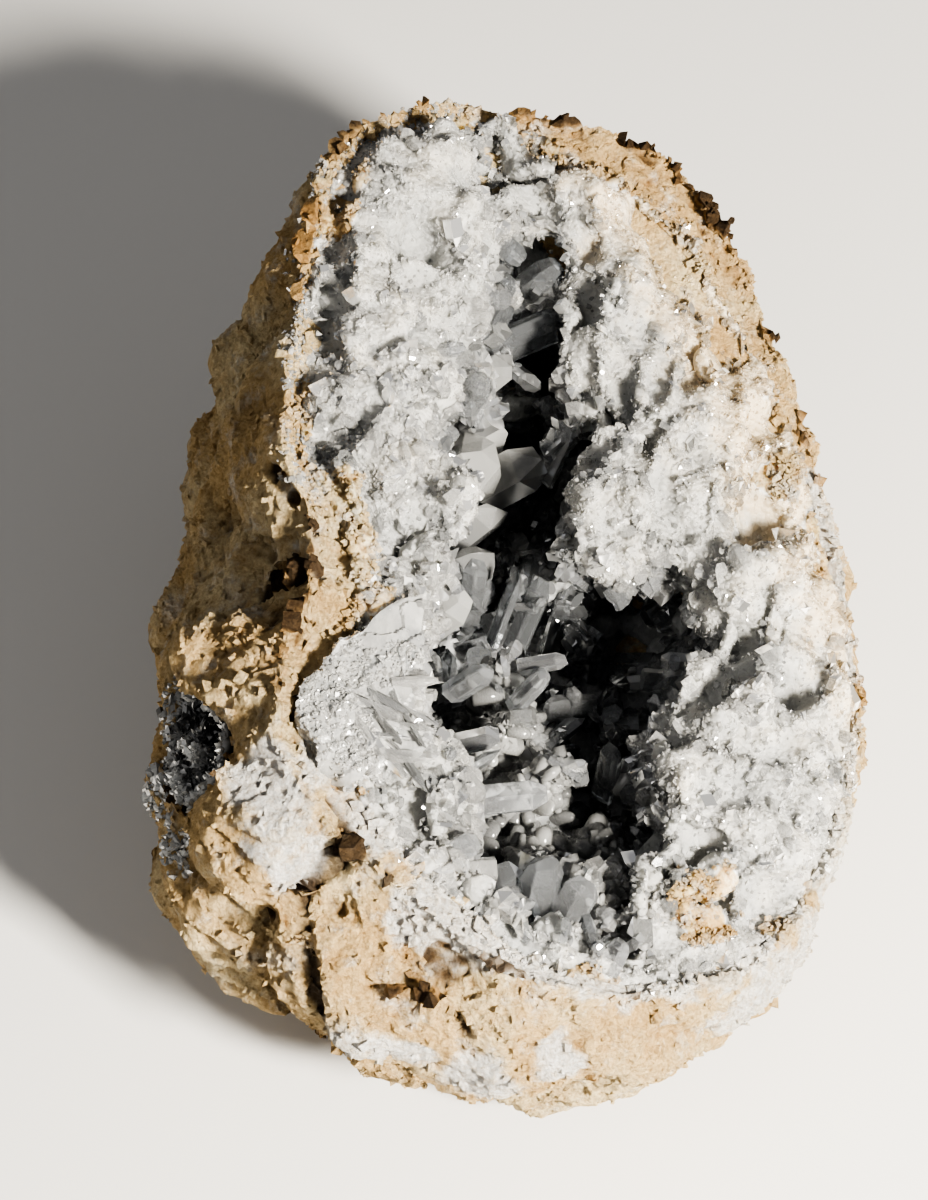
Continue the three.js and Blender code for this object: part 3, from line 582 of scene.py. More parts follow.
def grown(name, shapes, feet, ups, sizes, kept, material):
    """One piece of many small flat-faced things, each a copy of one shape. Each has a foot, a direction, a
    size as width, thickness and length, and one number of every kind that its material reads. Its turn and
    its shape are drawn from rng, the random numbers that a section starts for itself."""
    turn = unit(rng.normal(size=(len(feet), 3)))
    side = unit(np.cross(ups, turn))
    across = np.cross(ups, side)
    kinds = rng.integers(len(shapes), size=len(feet))
    vertices, counts, corners, order = [], [], [], []
    start = 0
    for kind, (model, face_counts, face_corners) in enumerate(shapes):
        chosen = np.flatnonzero(kinds == kind)
        scaled = model[None] * sizes[chosen][:, None]
        turned = (
            scaled[..., 0:1] * side[chosen][:, None]
            + scaled[..., 1:2] * across[chosen][:, None]
            + scaled[..., 2:3] * ups[chosen][:, None]
            + feet[chosen][:, None]
        )
        vertices.append(turned.reshape(-1, 3))
        firsts = start + np.arange(len(chosen)) * len(model)
        corners.append((face_corners[None] + firsts[:, None]).ravel())
        counts.append(np.tile(face_counts, len(chosen)))
        order.append(np.repeat(chosen, len(model)))
        start += len(chosen) * len(model)
    vertices, counts, corners = (np.concatenate(rows) for rows in (vertices, counts, corners))
    mesh = bpy.data.meshes.new(name)
    mesh.vertices.add(len(vertices))
    mesh.vertices.foreach_set("co", vertices.astype(np.float32).ravel())
    mesh.loops.add(len(corners))
    mesh.loops.foreach_set("vertex_index", corners.astype(np.int32))
    mesh.polygons.add(len(counts))
    mesh.polygons.foreach_set("loop_start", (np.cumsum(counts) - counts).astype(np.int32))
    mesh.update(calc_edges=True)
    mesh.shade_flat()
    piece = bpy.data.objects.new(name, mesh)
    bpy.context.collection.objects.link(piece)
    order = np.concatenate(order)
    for kind, values in kept.items():
        keep(piece, kind, values[order])
    piece.data.materials.append(material)
    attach(piece, "root")
    return piece


def crumbs_on(name, places, normals, widths, kept, finer=1, loose=0):
    """A pile of crumbs at these places. Their widths in mm are drawn by a gamma curve's two numbers, kept
    between a least and a most, and made finer. They lie about as many mm off their places as loose says."""
    many = len(places)
    *curve, least, most = widths
    up = unit(normals + 0.6 * rng.normal(size=(many, 3)))
    width = rng.gamma(*curve, many).clip(least, most) * finer
    sizes = width[:, None] * rng.uniform(0.7, 1.2, (many, 3)) * MM
    if loose:
        places = places + loose * MM * rng.normal(size=(many, 3))
    grown(name, crumb_shapes, places, up, sizes, kept, stone.material)


crumb_shapes = []
rng = np.random.default_rng(3)
for _ in range(CRUMB_KINDS):
    bpy.ops.object.select_all(action="DESELECT")
    bpy.ops.mesh.primitive_cube_add(size=0.8)
    vertices, counts, corners = shape_of(bpy.context.object)
    crumb_shapes.append((vertices * rng.uniform(0.55, 1.25, (len(vertices), 1)), counts, corners))

chance = open_share * np.maximum(crumbling, rugged) * smoothstep(rock_places[:, 2], 15 * MM, 30 * MM)
crumb_sites = rng.choice(len(rock_places), CRUMB_COUNT, replace=False, p=chance / chance.sum())
facing = rock_normals[crumb_sites]
feet = rock_places[crumb_sites] - CRUMB_SINK * facing
under_crumbs = {name: values[crumb_sites] for name, values in rock_kept.items()}
crumbs_on("rock_crumbs", feet, facing, (6, 0.2, 0.6, 2.6), under_crumbs)

# ---- crust of celestite ----
# The bed that all the crystals grow from: milky, fused celestite in rounded heads like cauliflower. It is
# near white on the rim, and painted a darker grey down in the hollow and in its valleys, as painted shade.

CRUST_VOXEL = 1.15 * MM

bed = skin_over("crystal_crust", "crystal_bed", CRUST_VOXEL)
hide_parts("crystal_crust")

# The plane of the broken rim: its height in mm over the middle of the foot, and its rise along x and y.
RIM_HEIGHT = 75.2
RIM_SLOPES = (-0.35, 0.1)


def rim_height(x, y):
    """How high the plane of the broken rim lies at x and y, in mm."""
    return RIM_HEIGHT + RIM_SLOPES[0] * x + RIM_SLOPES[1] * y


def under_rim(places):
    """How far each place lies under the plane of the broken rim, in mm."""
    x, y, z = (places / MM).T
    return rim_height(x, y) - z


# Where the smooth, frosted plate lies on the left of the mouth.
PLATE_SPOTS = [(-29, -42, 85, 11), (-22, -34, 84, 9), (-21, -46, 83, 10), (-30, -53, 84, 10)]

# Heads of crystals that stand up at the front of the hollow, each with its reach and its rise in mm.
FRONT_HEADS = [(20, -72, 47, 15, 8), (10, -84, 55, 9, 4), (32, -73, 57, 8, 5)]

places, normals = points_of(bed)
backs = covered(rind_tree, places, normals, np.full(len(places), True))
to_rind = distance_to(rind_tree, places)
# Its edges are let into the rock, so that no gap shows between the two.
LET_IN = 0.8

push_out(bed, LET_IN * (1 - smoothstep(to_rind, 0.6 * MM, 2 * MM)))
front = ~backs * (0.25 + 0.75 * smoothstep(to_rind, 0.3 * MM, 3 * MM))
weigh(bed, "front", front * (1 - 0.8 * near(places, PLATE_SPOTS)))
places, _ = points_of(bed)
for *centre, reach, rise in FRONT_HEADS:
    places[:, 2] += front * rise * MM * near(places, [(*centre, reach)])
move_points(bed, places)
roughen(bed, "VORONOI", 18, -13.0, "front", middle=0.14, **ROUNDED)
roughen(bed, "VORONOI", 9, -6.5, "front", middle=0.14, **ROUNDED)
soften = bed.modifiers.new("soft valleys", "SMOOTH")
soften.factor = 0.6
soften.iterations = 5
soften.vertex_group = "front"
applied(bed, soften)
roughen(bed, "VORONOI", 4.5, -1.6, "front", middle=0.2, **ROUNDED)
roughen(bed, "CLOUDS", 2.2, 0.5, "front", noise_depth=2)

# Heads painted greyer than the rest, as painted shade where they lie less lit, each with its reach in mm.
LESS_LIT_SPOTS = [(29, 54, 76, 18), (3, 78, 86, 12), (-15, -10, 82, 8), (-6, 94, 90, 10)]

bed_places, bed_normals = points_of(bed)
# Valleys: how far each place lies under the heads round it, or within those spots. The bed and its crystals
# are painted greyer there, as painted shade.
valleys = np.clip(0.5 + 0.16 * sunk(bed, 90) + 0.5 * near(bed_places, LESS_LIT_SPOTS), 0, 1)
keep(bed, "valleys", valleys)
crystal_sites = np.flatnonzero(~backs)

# Where the crust is stony: its edge, unevenly, and a few tan patches on it, each with its reach in mm.
STONY_SPOTS = [
    (42, -77, 58, 12), (34, -80, 60, 10), (27, -84, 62, 7), (54, 20, 62, 8), (52, 30, 64, 6),
    (-35, 60, 94, 8), (-30, 70, 95, 5), (-34, -6, 88, 9), (-29, -12, 88, 9), (-27, -18, 86, 8),
    (-31, -26, 85, 9), (-26, -25, 83, 6), (40, 70, 74, 8),
]
STONY_RELIEF = 1.6

under = under_rim(bed_places)
patchy = cloudy(bed_places, 8)
edge = to_rind / MM + 2.5 * patchy + 5 * cloudy(bed_places, 17, octaves=2, shift=6)
stony_edge = 1 - smoothstep(edge, -0.4, 1.4)
patches = near(bed_places, STONY_SPOTS)
stony = smoothstep(patches + 0.5 * patchy, 0.3, 0.55) * smoothstep(patches, 0, 0.2)
stony = np.maximum(0.8 * stony_edge, stony) * (1 - smoothstep(under, 6, 11))
keep(bed, "stony", stony)
push_out(bed, stony * (STONY_RELIEF * cloudy(bed_places, 4.5, shift=4)) * ~backs)

# Where the crystals are larger and clearer: down in the hollow and at these places of its mouth.
GLASSY_SPOTS = [
    (-11, 21, 75, 10), (-6, 39, 76, 10), (-1, 51, 77, 9), (3, 64, 75, 9), (8, 67, 77, 6),
    (-8, 5, 77, 8), (-13, -19, 76, 8), (-10, -60, 68, 9), (-6, -71, 66, 9), (-2, -82, 66, 9),
    (4, -89, 62, 9), (13, -90, 59, 8), (23, -84, 58, 7),
]

# Between these depths under the rim, in mm, its small crystals give way to the hollow's.
RIM_ENDS = (8, 14)

glassy = np.maximum(smoothstep(under, *RIM_ENDS), 0.6 * near(bed_places, GLASSY_SPOTS))
keep(bed, "glassy", glassy)
coarsened(bed, backs & (under > 15), share=0.08)
bpy.ops.object.shade_smooth()

# Two shares that the crystals' materials read. Depth goes from 0 to 1 between two depths in mm under the
# rim, and turns colours darker down in the hollow, as painted shade. Stain is the clay on the crust's right
# edge, which runs straight from the far end to the right flank: it thickens in the direction CLAY_WAY,
# between the two distances CLAY_EDGE.
HOLLOW_DEPTHS = (16, 44)
CLAY = (0.62, 0.50, 0.33)
CLAY_WAY = (0.911, 0.414)
CLAY_EDGE = (59, 76)
CLAY_WANDER = 40
CLAY_SHARE = 0.7

place_group = Recipe("place in the crust", group=True)
x, y, z = place_group.node("SeparateXYZ", {0: place_group.place()}).outputs
plane = place_group.maths("MULTIPLY_ADD", x, RIM_SLOPES[0], RIM_HEIGHT)
plane = place_group.maths("MULTIPLY_ADD", y, RIM_SLOPES[1], plane)
depth = place_group.between(place_group.maths("SUBTRACT", plane, z), *HOLLOW_DEPTHS)
across = place_group.maths("MULTIPLY", x, CLAY_WAY[0])
across = place_group.maths("MULTIPLY_ADD", y, CLAY_WAY[1], across)
across = place_group.maths("MULTIPLY_ADD", place_group.noise(7, 5, 0.65), CLAY_WANDER, across)
stain = place_group.between(across, *CLAY_EDGE, 0, CLAY_SHARE)
place_group.group_outputs({"Depth": depth, "Stain": stain})


def set_in_hollow(recipe, colour, deep):
    """A crystal's colour, stained with clay at the crust's right edge and turned to a darker one lower in
    the hollow, as painted shade.
    """
    place = recipe.node("Group", node_tree=place_group.tree).outputs
    stained = recipe.blend(place["Stain"], colour, CLAY)
    return recipe.blend(place["Depth"], stained, deep)


CELESTITE_IOR = 1.62
MILK = (0.46, 0.452, 0.428)
GREY_MILK = (0.28, 0.285, 0.28)
WARM_MILK = (0.46, 0.41, 0.33)
HOLLOW_SHADE_GREY = (0.3, 0.305, 0.31)

milky = Recipe("milky celestite")
where = milky.place()
cloud = milky.noise(9, 4, at=where)
grain = milky.noise(0.9, 5, 0.7, at=where)
colour = milky.blend(milky.between(cloud, 0.42, 0.68, 0, 0.5), MILK, WARM_MILK)
colour = milky.blend(milky.between(milky.noise(14, 3, at=where), 0.4, 0.62, 0, 0.6), colour, GREY_MILK)
# Painted shade: greyer in the valleys and the less lit spots.
colour = milky.blend(milky.between(milky.value("valleys"), 0.45, 0.8, 0, 0.5), colour, GREY_MILK)
colour = milky.blend(milky.between(milky.value("glassy"), 0.1, 0.9, 0, 0.9), colour, GREY_MILK)
# Painted shade: a darker grey down in the hollow.
colour = set_in_hollow(milky, colour, HOLLOW_SHADE_GREY)
flecks = milky.maths("MULTIPLY", milky.noise(2.5, 4, at=where), 0.6)
stoniness = milky.maths("ADD", milky.value("stony"), flecks)
skin = rock_look(milky, milky.between(stoniness, 1.2, 0.6), 0.4, 0.5, 0.4)
is_stone = milky.between(stoniness, 0.5, 0.8)
colour = milky.blend(is_stone, colour, skin["Colour"])
milky.feed(
    {
        "Base Color": colour,
        "Roughness": milky.between(stoniness, 0.5, 0.8, 0.3, 0.95),
        "IOR": CELESTITE_IOR,
        "Subsurface Weight": 0.8,
        "Subsurface Radius": (1, 1, 0.95),
        "Subsurface Scale": 4 * MM,
    }
)
stone_relief = milky.maths("MULTIPLY", skin["Grain"], is_stone)
milky.bumps([(milky.cells(1.3, at=where), -0.8, 0.7), (grain, 0.8, 0.8), (stone_relief, 2.2, 1)])
bed.data.materials.append(milky.material)

# ---- small crystals of the rim ----
# The sugary druse: short chisels and points of celestite, one or two millimetres long, that stand close
# together on the bed. Each is a copy of one of three models, and they are joined.


def crystal(sides, flatness, shoulder, *ends):
    """The shape of a crystal one unit long and wide, its root at z = 0: a prism up to its shoulder, then
    steps to its end, each with its height and the shares of the width and the thickness left there."""
    bpy.ops.object.select_all(action="DESELECT")
    middle = (0, 0, shoulder / 2)
    bpy.ops.mesh.primitive_cylinder_add(vertices=sides, radius=0.5, depth=shoulder, location=middle)
    model = bpy.context.object
    bpy.ops.object.transform_apply(location=True, rotation=True, scale=True)
    bpy.ops.object.mode_set(mode="EDIT")
    bpy.ops.mesh.select_all(action="DESELECT")
    bpy.ops.object.mode_set(mode="OBJECT")
    for face in model.data.polygons:
        face.select = face.normal.z > 0.9
    bpy.ops.object.mode_set(mode="EDIT")
    bpy.ops.mesh.select_mode(type="FACE")
    level, wide, thick = shoulder, 1, 1
    for height, width, thickness in ends:
        bpy.ops.mesh.extrude_region_move(TRANSFORM_OT_translate={"value": (0, 0, height - level)})
        bpy.ops.transform.resize(value=(width / wide, thickness / thick, 1), center_override=(0, 0, height))
        level, wide, thick = height, width, thickness
    bpy.ops.mesh.select_all(action="SELECT")
    bpy.ops.mesh.remove_doubles(threshold=0.05)
    bpy.ops.transform.resize(value=(1, flatness, 1), center_override=(0, 0, 0))
    bpy.ops.mesh.normals_make_consistent(inside=False)
    bpy.ops.object.mode_set(mode="OBJECT")
    return shape_of(model)


chisel = crystal(4, 0.75, 0.6, (1, 0.7, 0.02))
point = crystal(5, 0.9, 0.55, (1, 0.02, 0.02))
blade = crystal(4, 0.5, 0.7, (1, 0.6, 0.02))
GRAIN_SHAPES = [chisel, point, blade]

PASSED_LIGHT = (0.74, 0.8, 0.86)


def crystal_material(name, milk, roughness, tint, shade, deep=None, density=0):
    """Celestite that lets light through: milk is the share that scatters it, and density is how soon it
    soaks up all but the passed light. Each crystal's tone chooses between tint and shade; where the tone
    follows the bed's valleys or the pocket's depth, the darker colour is painted shade. Both turn into the
    deep colour, if there is one, down in the hollow, which is painted shade too."""
    made = Recipe(name)
    colour = made.blend(made.between(made.value("tone"), 0.0, 1.0), tint, shade)
    if deep:
        colour = set_in_hollow(made, colour, deep)
    made.feed({"Base Color": colour, "Roughness": roughness})
    made.feed({"IOR": CELESTITE_IOR, "Transmission Weight": 1 - milk})
    if density:
        soak = made.node("VolumeAbsorption", {"Color": (*PASSED_LIGHT, 1), "Density": density})
        made.fill(made.tree.nodes["Material Output"].inputs, {"Volume": soak.outputs[0]})
    return made.material


sugar = crystal_material(
    "sugary celestite",
    milk=0.33,
    roughness=0.15,
    tint=(0.6, 0.59, 0.56),
    shade=(0.34, 0.345, 0.34),
    deep=(0.25, 0.26, 0.27),
)


def picked(sites, chance):
    """The sites that chance chooses."""
    return sites[rng.random(len(sites)) < chance]


def strewn(name, ground, sites, shapes, material, widths, stretch, lean, root, larger=1):
    """Crystals on chosen vertices of a ground, given as its places, normals and tones. Their widths in mm
    are drawn by a gamma curve's two numbers, kept between a least and a most, and made larger. Stretch is
    their length as a share of that, lean how much each leans its own way, and root how much of it is in
    the ground."""
    places, normals, tones = ground
    many = len(sites)
    *curve, least, most = widths
    width = rng.gamma(*curve, many).clip(least, most) * larger
    up = unit(normals[sites] + lean * rng.normal(size=(many, 3)))
    length = width * rng.uniform(*stretch, many)
    sizes = np.stack([width, width * rng.uniform(0.8, 1.1, many), length], axis=1) * MM
    feet = places[sites] - up * (root * length * MM)[:, None]
    shades = np.clip(tones[sites] + 0.2 * rng.normal(size=many), 0, 1)
    return grown(name, shapes, feet, up, sizes, {"tone": shades}, material)


SMALL_SHARE = 0.62

plate_share = near(bed_places, PLATE_SPOTS)
coarse = cloudy(bed_places, 11, octaves=2, shift=4)
grey = cloudy(bed_places, 16, shift=7)
# The ground's tone is darker in the bed's valleys and less lit spots, as painted shade, and varies with the
# grey noise.
bed_ground = (bed_places, bed_normals, 0.3 + 1.2 * (valleys - 0.5) + 0.45 * grey)
rock_ground = (rock_places, rock_normals, np.full(len(rock_places), 0.3))
rng = np.random.default_rng(11)
rim_sites = crystal_sites[under[crystal_sites] < RIM_ENDS[1]]
cover = (1 - 0.8 * plate_share[rim_sites]) * (1 - 0.97 * smoothstep(stony[rim_sites], 0.4, 0.8))
cover *= 1 - 0.85 * glassy[rim_sites]
cover *= 1 - 0.12 * smoothstep(valleys[rim_sites], 0.55, 0.8)
order = rng.random(len(rim_sites))
small_sites = rim_sites[order < SMALL_SHARE * cover]
small_sites = small_sites[np.argsort(bed_places[small_sites, 1])]
habit = {"widths": (9, 0.105, 0.5, 2), "stretch": (0.8, 1.3), "lean": 0.42, "root": 0.64}
for name, half in zip(("rim_druse_front", "rim_druse_back"), np.array_split(small_sites, 2)):
    strewn(name, bed_ground, half, GRAIN_SHAPES, sugar, **habit, larger=1 + 0.5 * coarse[half])

# They also spread over the rock in tongues, furthest along the upper left edge.
TONGUES = 9 * MM

at_edge = (to_crust > TOUCHING) & (to_crust < TONGUES) & (rock_normals[:, 2] > 0.15)
edge_sites = np.flatnonzero(at_edge)
edge_places = rock_places[edge_sites]
edge_reach = to_crust[edge_sites] / MM
spread = 0.7 * cloudy(edge_places, 7) + 1.3 * cloudy(edge_places, 17, octaves=2, shift=6)
x, y, _ = (edge_places / MM).T
upper_left = smoothstep(-x, 5, 20) * smoothstep(y, -6, 4) * (1 - near(edge_places, STONY_SPOTS))
chance = smoothstep(spread + 3.2 * upper_left - 0.3 * (edge_reach - 1.2), -0.1, 0.3)
chance *= 1 - smoothstep(edge_reach - 4 * spread, 4, 6)
edge_sites = picked(edge_sites, 0.6 * chance)
habit = {"widths": (9, 0.11, 0.5, 1.9), "stretch": (0.8, 1.4), "lean": 0.5, "root": 0.55}
strewn("edge_druse", rock_ground, edge_sites, GRAIN_SHAPES, sugar, **habit)

# ---- crumbs along the crust's edge ----
# Where the crust ends, its edge is packed with the same crumbs of limestone. Finer ones also cover the
# crust's stony patches.

SEAM = (0.42 * MM, 1.7 * MM)
SEAM_CRUMBS = 2000
PATCH_CRUMBS = 2800
PATCH_FINER = 0.62

rng = np.random.default_rng(41)
seam = (to_crust > SEAM[0]) & (to_crust < SEAM[1]) & (rock_normals[:, 2] > -0.3)
seam_sites = rng.choice(np.flatnonzero(seam), SEAM_CRUMBS)
patch_chance = ~backs * (stony > 0.4) * (1 - 0.6 * plate_share)
patch_sites = rng.choice(len(bed_places), PATCH_CRUMBS, p=patch_chance / patch_chance.sum())
spots = np.concatenate([rock_places[seam_sites], bed_places[patch_sites]])
facing = np.concatenate([rock_normals[seam_sites], bed_normals[patch_sites]])
patch_kept = {"chalk": 0.2, "pits": 0.5, "crevices": 0.4, "browned": 0.4}
edge_kept = {
    name: np.concatenate([values[seam_sites], np.full(PATCH_CRUMBS, patch_kept[name])])
    for name, values in rock_kept.items()
}
finer = np.where(np.arange(len(spots)) < SEAM_CRUMBS, 1, PATCH_FINER)
crumbs_on("edge_crumbs", spots, facing, (6, 0.24, 0.7, 2.8), edge_kept, finer, loose=0.4)

# ---- larger crystals of the rim ----
# Clearer blocks and blades among the sugar, two to four millimetres wide, thickest along the mouth. Each
# is a copy of one of three models, one of them with a stepped end, and they are joined.

chisel_block = crystal(4, 0.85, 0.66, (1, 0.62, 0.02))
blade_block = crystal(4, 0.5, 0.75, (1, 0.6, 0.02))
stepped_block = crystal(5, 0.8, 0.7, (0.9, 0.66, 0.6), (1, 0.4, 0.02))
BLOCK_SHAPES = [chisel_block, blade_block, stepped_block]
clearer = crystal_material(
    "clearer celestite",
    milk=0.2,
    roughness=0.07,
    tint=(0.72, 0.715, 0.695),
    shade=(0.44, 0.445, 0.44),
    deep=(0.3, 0.31, 0.32),
)
# They take the last share of the sites' order, which the small crystals leave free.
FREE_SHARE = 0.3

at_mouth = smoothstep(under[rim_sites], 3, 8)
x, y, _ = (bed_places[rim_sites] / MM).T
on_left = smoothstep(-x, 2, 14) * smoothstep(-y, -34, -14)
chance = 0.02 + 0.1 * smoothstep(coarse[rim_sites], -0.1, 0.6) + 0.15 * at_mouth + 0.1 * glassy[rim_sites]
chance += 0.16 * on_left
chance *= (1 - 0.8 * plate_share[rim_sites]) * (1 - 0.97 * stony[rim_sites])
block_sites = picked(rim_sites, (order > 1 - FREE_SHARE) * chance / FREE_SHARE)
larger = 1 + 0.4 * glassy[block_sites]
habit = {"widths": (8, 0.27, 1.3, 4.4), "stretch": (0.9, 1.6), "lean": 0.75, "root": 0.5}
strewn("rim_blocks", bed_ground, block_sites, BLOCK_SHAPES, clearer, **habit, larger=larger)

# ---- crystals of the hollow ----
# Clear blocky crystals, three to seven millimetres long, on the walls and the floor of the hollow, and
# grey, rounded, fused ones on the mound at its left.

clear_chisel = crystal(8, 0.7, 0.8, (1, 0.6, 0.02))
clear_blade = crystal(6, 0.5, 0.8, (1, 0.55, 0.02))
clear_block = crystal(6, 0.8, 0.75, (0.93, 0.7, 0.7), (1, 0.5, 0.02))
CLEAR_SHAPES = [clear_chisel, clear_blade, clear_block]
round_knob = crystal(7, 0.85, 0.66, (0.9, 0.78, 0.78), (1, 0.4, 0.4))
flat_knob = crystal(7, 0.6, 0.72, (0.93, 0.75, 0.7), (1, 0.4, 0.35))
KNOB_SHAPES = [round_knob, flat_knob]

# Where the mound of grey crystals rises, each spot with its reach in mm.
MOUND_SPOTS = [(-6, -40, 48, 22), (6, -56, 46, 20), (14, -66, 50, 14), (2, -24, 46, 14), (12, -46, 40, 16)]

rng = np.random.default_rng(23)
clear = crystal_material(
    "clear celestite",
    milk=0.12,
    roughness=0.06,
    tint=(0.72, 0.73, 0.74),
    shade=(0.46, 0.475, 0.49),
    deep=(0.42, 0.435, 0.45),
    density=40,
)
greyed = crystal_material(
    "grey celestite",
    milk=0.35,
    roughness=0.1,
    tint=(0.58, 0.58, 0.56),
    shade=(0.32, 0.322, 0.317),
    deep=(0.3, 0.305, 0.315),
)
mound_share = near(bed_places, MOUND_SPOTS)
hollow_share = glassy[crystal_sites] * (1 - mound_share[crystal_sites])
wall_sites = picked(crystal_sites, 0.075 * hollow_share)
habit = {"widths": (6, 0.55, 1.4, 6), "stretch": (1.1, 2.0), "lean": 0.5, "root": 0.4}
strewn("hollow_crystals", bed_ground, wall_sites, CLEAR_SHAPES, clear, **habit)

knob_sites = picked(crystal_sites, 0.13 * mound_share[crystal_sites])
habit = {"widths": (7, 0.42, 1.5, 5), "stretch": (1.0, 1.8), "lean": 0.55, "root": 0.45}
knobs = strewn("mound_knobs", bed_ground, knob_sites, KNOB_SHAPES, greyed, **habit)
knobs.data.shade_smooth()
bud_sites = picked(crystal_sites, 0.3 * mound_share[crystal_sites])
habit = {"widths": (8, 0.17, 0.7, 2.2), "stretch": (1.0, 1.6), "lean": 0.6, "root": 0.45}
strewn("mound_buds", bed_ground, bud_sites, GRAIN_SHAPES, greyed, **habit)

# ---- large prisms ----
# The longest crystals in the hollow, clear and flat-faced, and the big dim blocks on its left wall. Each is
# given by its root, its tip, its width and its thickness in mm.

LARGE_PRISMS = [
    ((-3, -9, 44), (2, -4, 60), 5, 4), ((1, -10, 42), (7, -4, 58), 5, 4),
    ((-8, -7, 48), (-6, -5, 66), 5, 4), ((1, -30, 52), (7, -29, 62), 4.5, 4),
    ((-11, -29, 55), (-4, -31, 66), 5, 4), ((2, -25, 58), (11, -26, 62), 3.6, 3),
    ((-14, -52, 56), (-2, -48, 64), 6.5, 3.5), ((-9, -54, 55), (7, -54, 58), 6, 4),
    ((-13, -43, 57), (-2, -42, 60), 5, 3), ((2, -79, 50), (-3, -72, 62), 8, 5),
    ((4, -78, 50), (6, -72, 64), 9, 6), ((9, -79, 50), (14, -74, 60), 7, 5),
    ((-2, -79, 52), (-6, -78, 64), 6, 4), ((18, -42, 38), (20, -39, 52), 5, 4),
    ((-3, 51, 62), (12, 56, 66), 8, 6), ((0, 61, 64), (11, 66, 72), 7, 5),
    ((7, 24, 54), (12, 29, 65), 7, 3.5), ((-9, 30, 70), (-5, 31, 78), 6.5, 6),
    ((25, -21, 20), (22, -27, 40), 6, 4), ((-1, 7, 19), (3, 11, 42), 7, 5),
    ((8, 3, 18), (13, 9, 40), 6, 4),
]

WALL_BLOCKS = [
    ((-16, 22, 53), (-2, 24, 62), 14, 11), ((-15, 33, 62), (-6, 34, 72), 6, 6),
    ((-10, 42, 61), (1, 41, 69), 9, 5), ((-5, 24, 50), (7, 26, 58), 10, 8),
    ((-17, 2, 57), (-8, 5, 68), 9, 7), ((-20, -4, 55), (-11, -3, 66), 8, 6),
    ((-14, 1, 45), (-4, 4, 56), 11, 8), ((-18, -13, 53), (-8, -12, 64), 8, 6),
    ((-12, 13, 46), (-2, 16, 55), 11, 9), ((-13, 30, 53), (-2, 34, 61), 11, 8),
]

# How much wider and thicker a shape is made, because its facets and its flatness take that much away.
FACETS_TAKE = (1.1, 1.4)
WORN_EDGE = 0.3 * MM

rng = np.random.default_rng(5)
for name, listed, shapes, material in (
    ("large_prisms", LARGE_PRISMS, CLEAR_SHAPES, clear),
    ("wall_blocks", WALL_BLOCKS, BLOCK_SHAPES, greyed),
):
    roots = np.array([prism[0] for prism in listed]) * MM
    tips = np.array([prism[1] for prism in listed]) * MM
    widths = np.array([prism[2:] for prism in listed]) * MM
    spans = np.linalg.norm(tips - roots, axis=1, keepdims=True)
    sizes = np.concatenate([widths * FACETS_TAKE, spans], axis=1)
    tones = {"tone": rng.random(len(roots))}
    prisms = grown(name, shapes, roots, unit(tips - roots), sizes, tones, material)
    bevel = prisms.modifiers.new("worn edges", "BEVEL")
    bevel.width = WORN_EDGE
    bevel.segments = 2
    applied(prisms, bevel)

# ---- frosted plate ----
# One smooth slab of frosted crystal on the left of the mouth, where it broke along a cleavage plane. Its
# straight right edge stands out over the hollow. Corners in mm, seen from above.

PLATE_OUTLINE = [
    (-25, -29), (-16, -25), (-16.5, -38), (-17.5, -51), (-14, -56), (-20, -60), (-29, -64),
    (-35.5, -62), (-38.5, -55), (-38, -49), (-35, -42), (-30, -36),
]
PLATE_RISE = 4.4
PLATE_TILT = 0.17
PLATE_THICKNESS = 6
PLATE_VOXEL = 0.5 * MM


def plate_top(x, y):
    """How high the slab's flat upper face lies at x and y, in mm."""
    return rim_height(x, y) + (PLATE_RISE + PLATE_TILT * (x - PLATE_OUTLINE[1][0]))


bpy.ops.object.select_all(action="DESELECT")
bpy.ops.mesh.primitive_circle_add(vertices=len(PLATE_OUTLINE), radius=0.01, fill_type="NGON")
plate = bpy.context.object
plate.name = "frosted_plate"
for vertex, (x, y) in zip(plate.data.vertices, PLATE_OUTLINE):
    vertex.co = Vector((x, y, plate_top(x, y))) * MM
bpy.ops.object.mode_set(mode="EDIT")
bpy.ops.mesh.select_all(action="SELECT")
bpy.ops.mesh.extrude_region_move(TRANSFORM_OT_translate={"value": (0, 0, -PLATE_THICKNESS * MM)})
bpy.ops.mesh.select_all(action="SELECT")
bpy.ops.mesh.normals_make_consistent(inside=False)
bpy.ops.object.mode_set(mode="OBJECT")
evened(plate, PLATE_VOXEL)

# Its left edge is ragged. Its face has low steps, gentle swells and fine streaks along y.
places, _ = points_of(plate)
ragged = 2.2 * MM * smoothstep(-places[:, 0] / MM, 18, 26)
for axis in (0, 1):
    places[:, axis] += ragged * cloudy(places, 9, shift=20 + axis)
move_points(plate, places)
places, _ = points_of(plate)
steps = np.round(2.5 * cloudy(places, 13, octaves=2)) / 2.5
swells = cloudy(places, 11, octaves=2, shift=3)
streaks = cloudy(places * (1, 0.16, 1), 2.6, shift=5)
push_out(plate, 1.3 * steps + 0.8 * swells + 0.16 * streaks)
plate_places, plate_normals = points_of(plate)
bpy.ops.object.shade_smooth_by_angle(angle=math.radians(18))
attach(plate, "root")

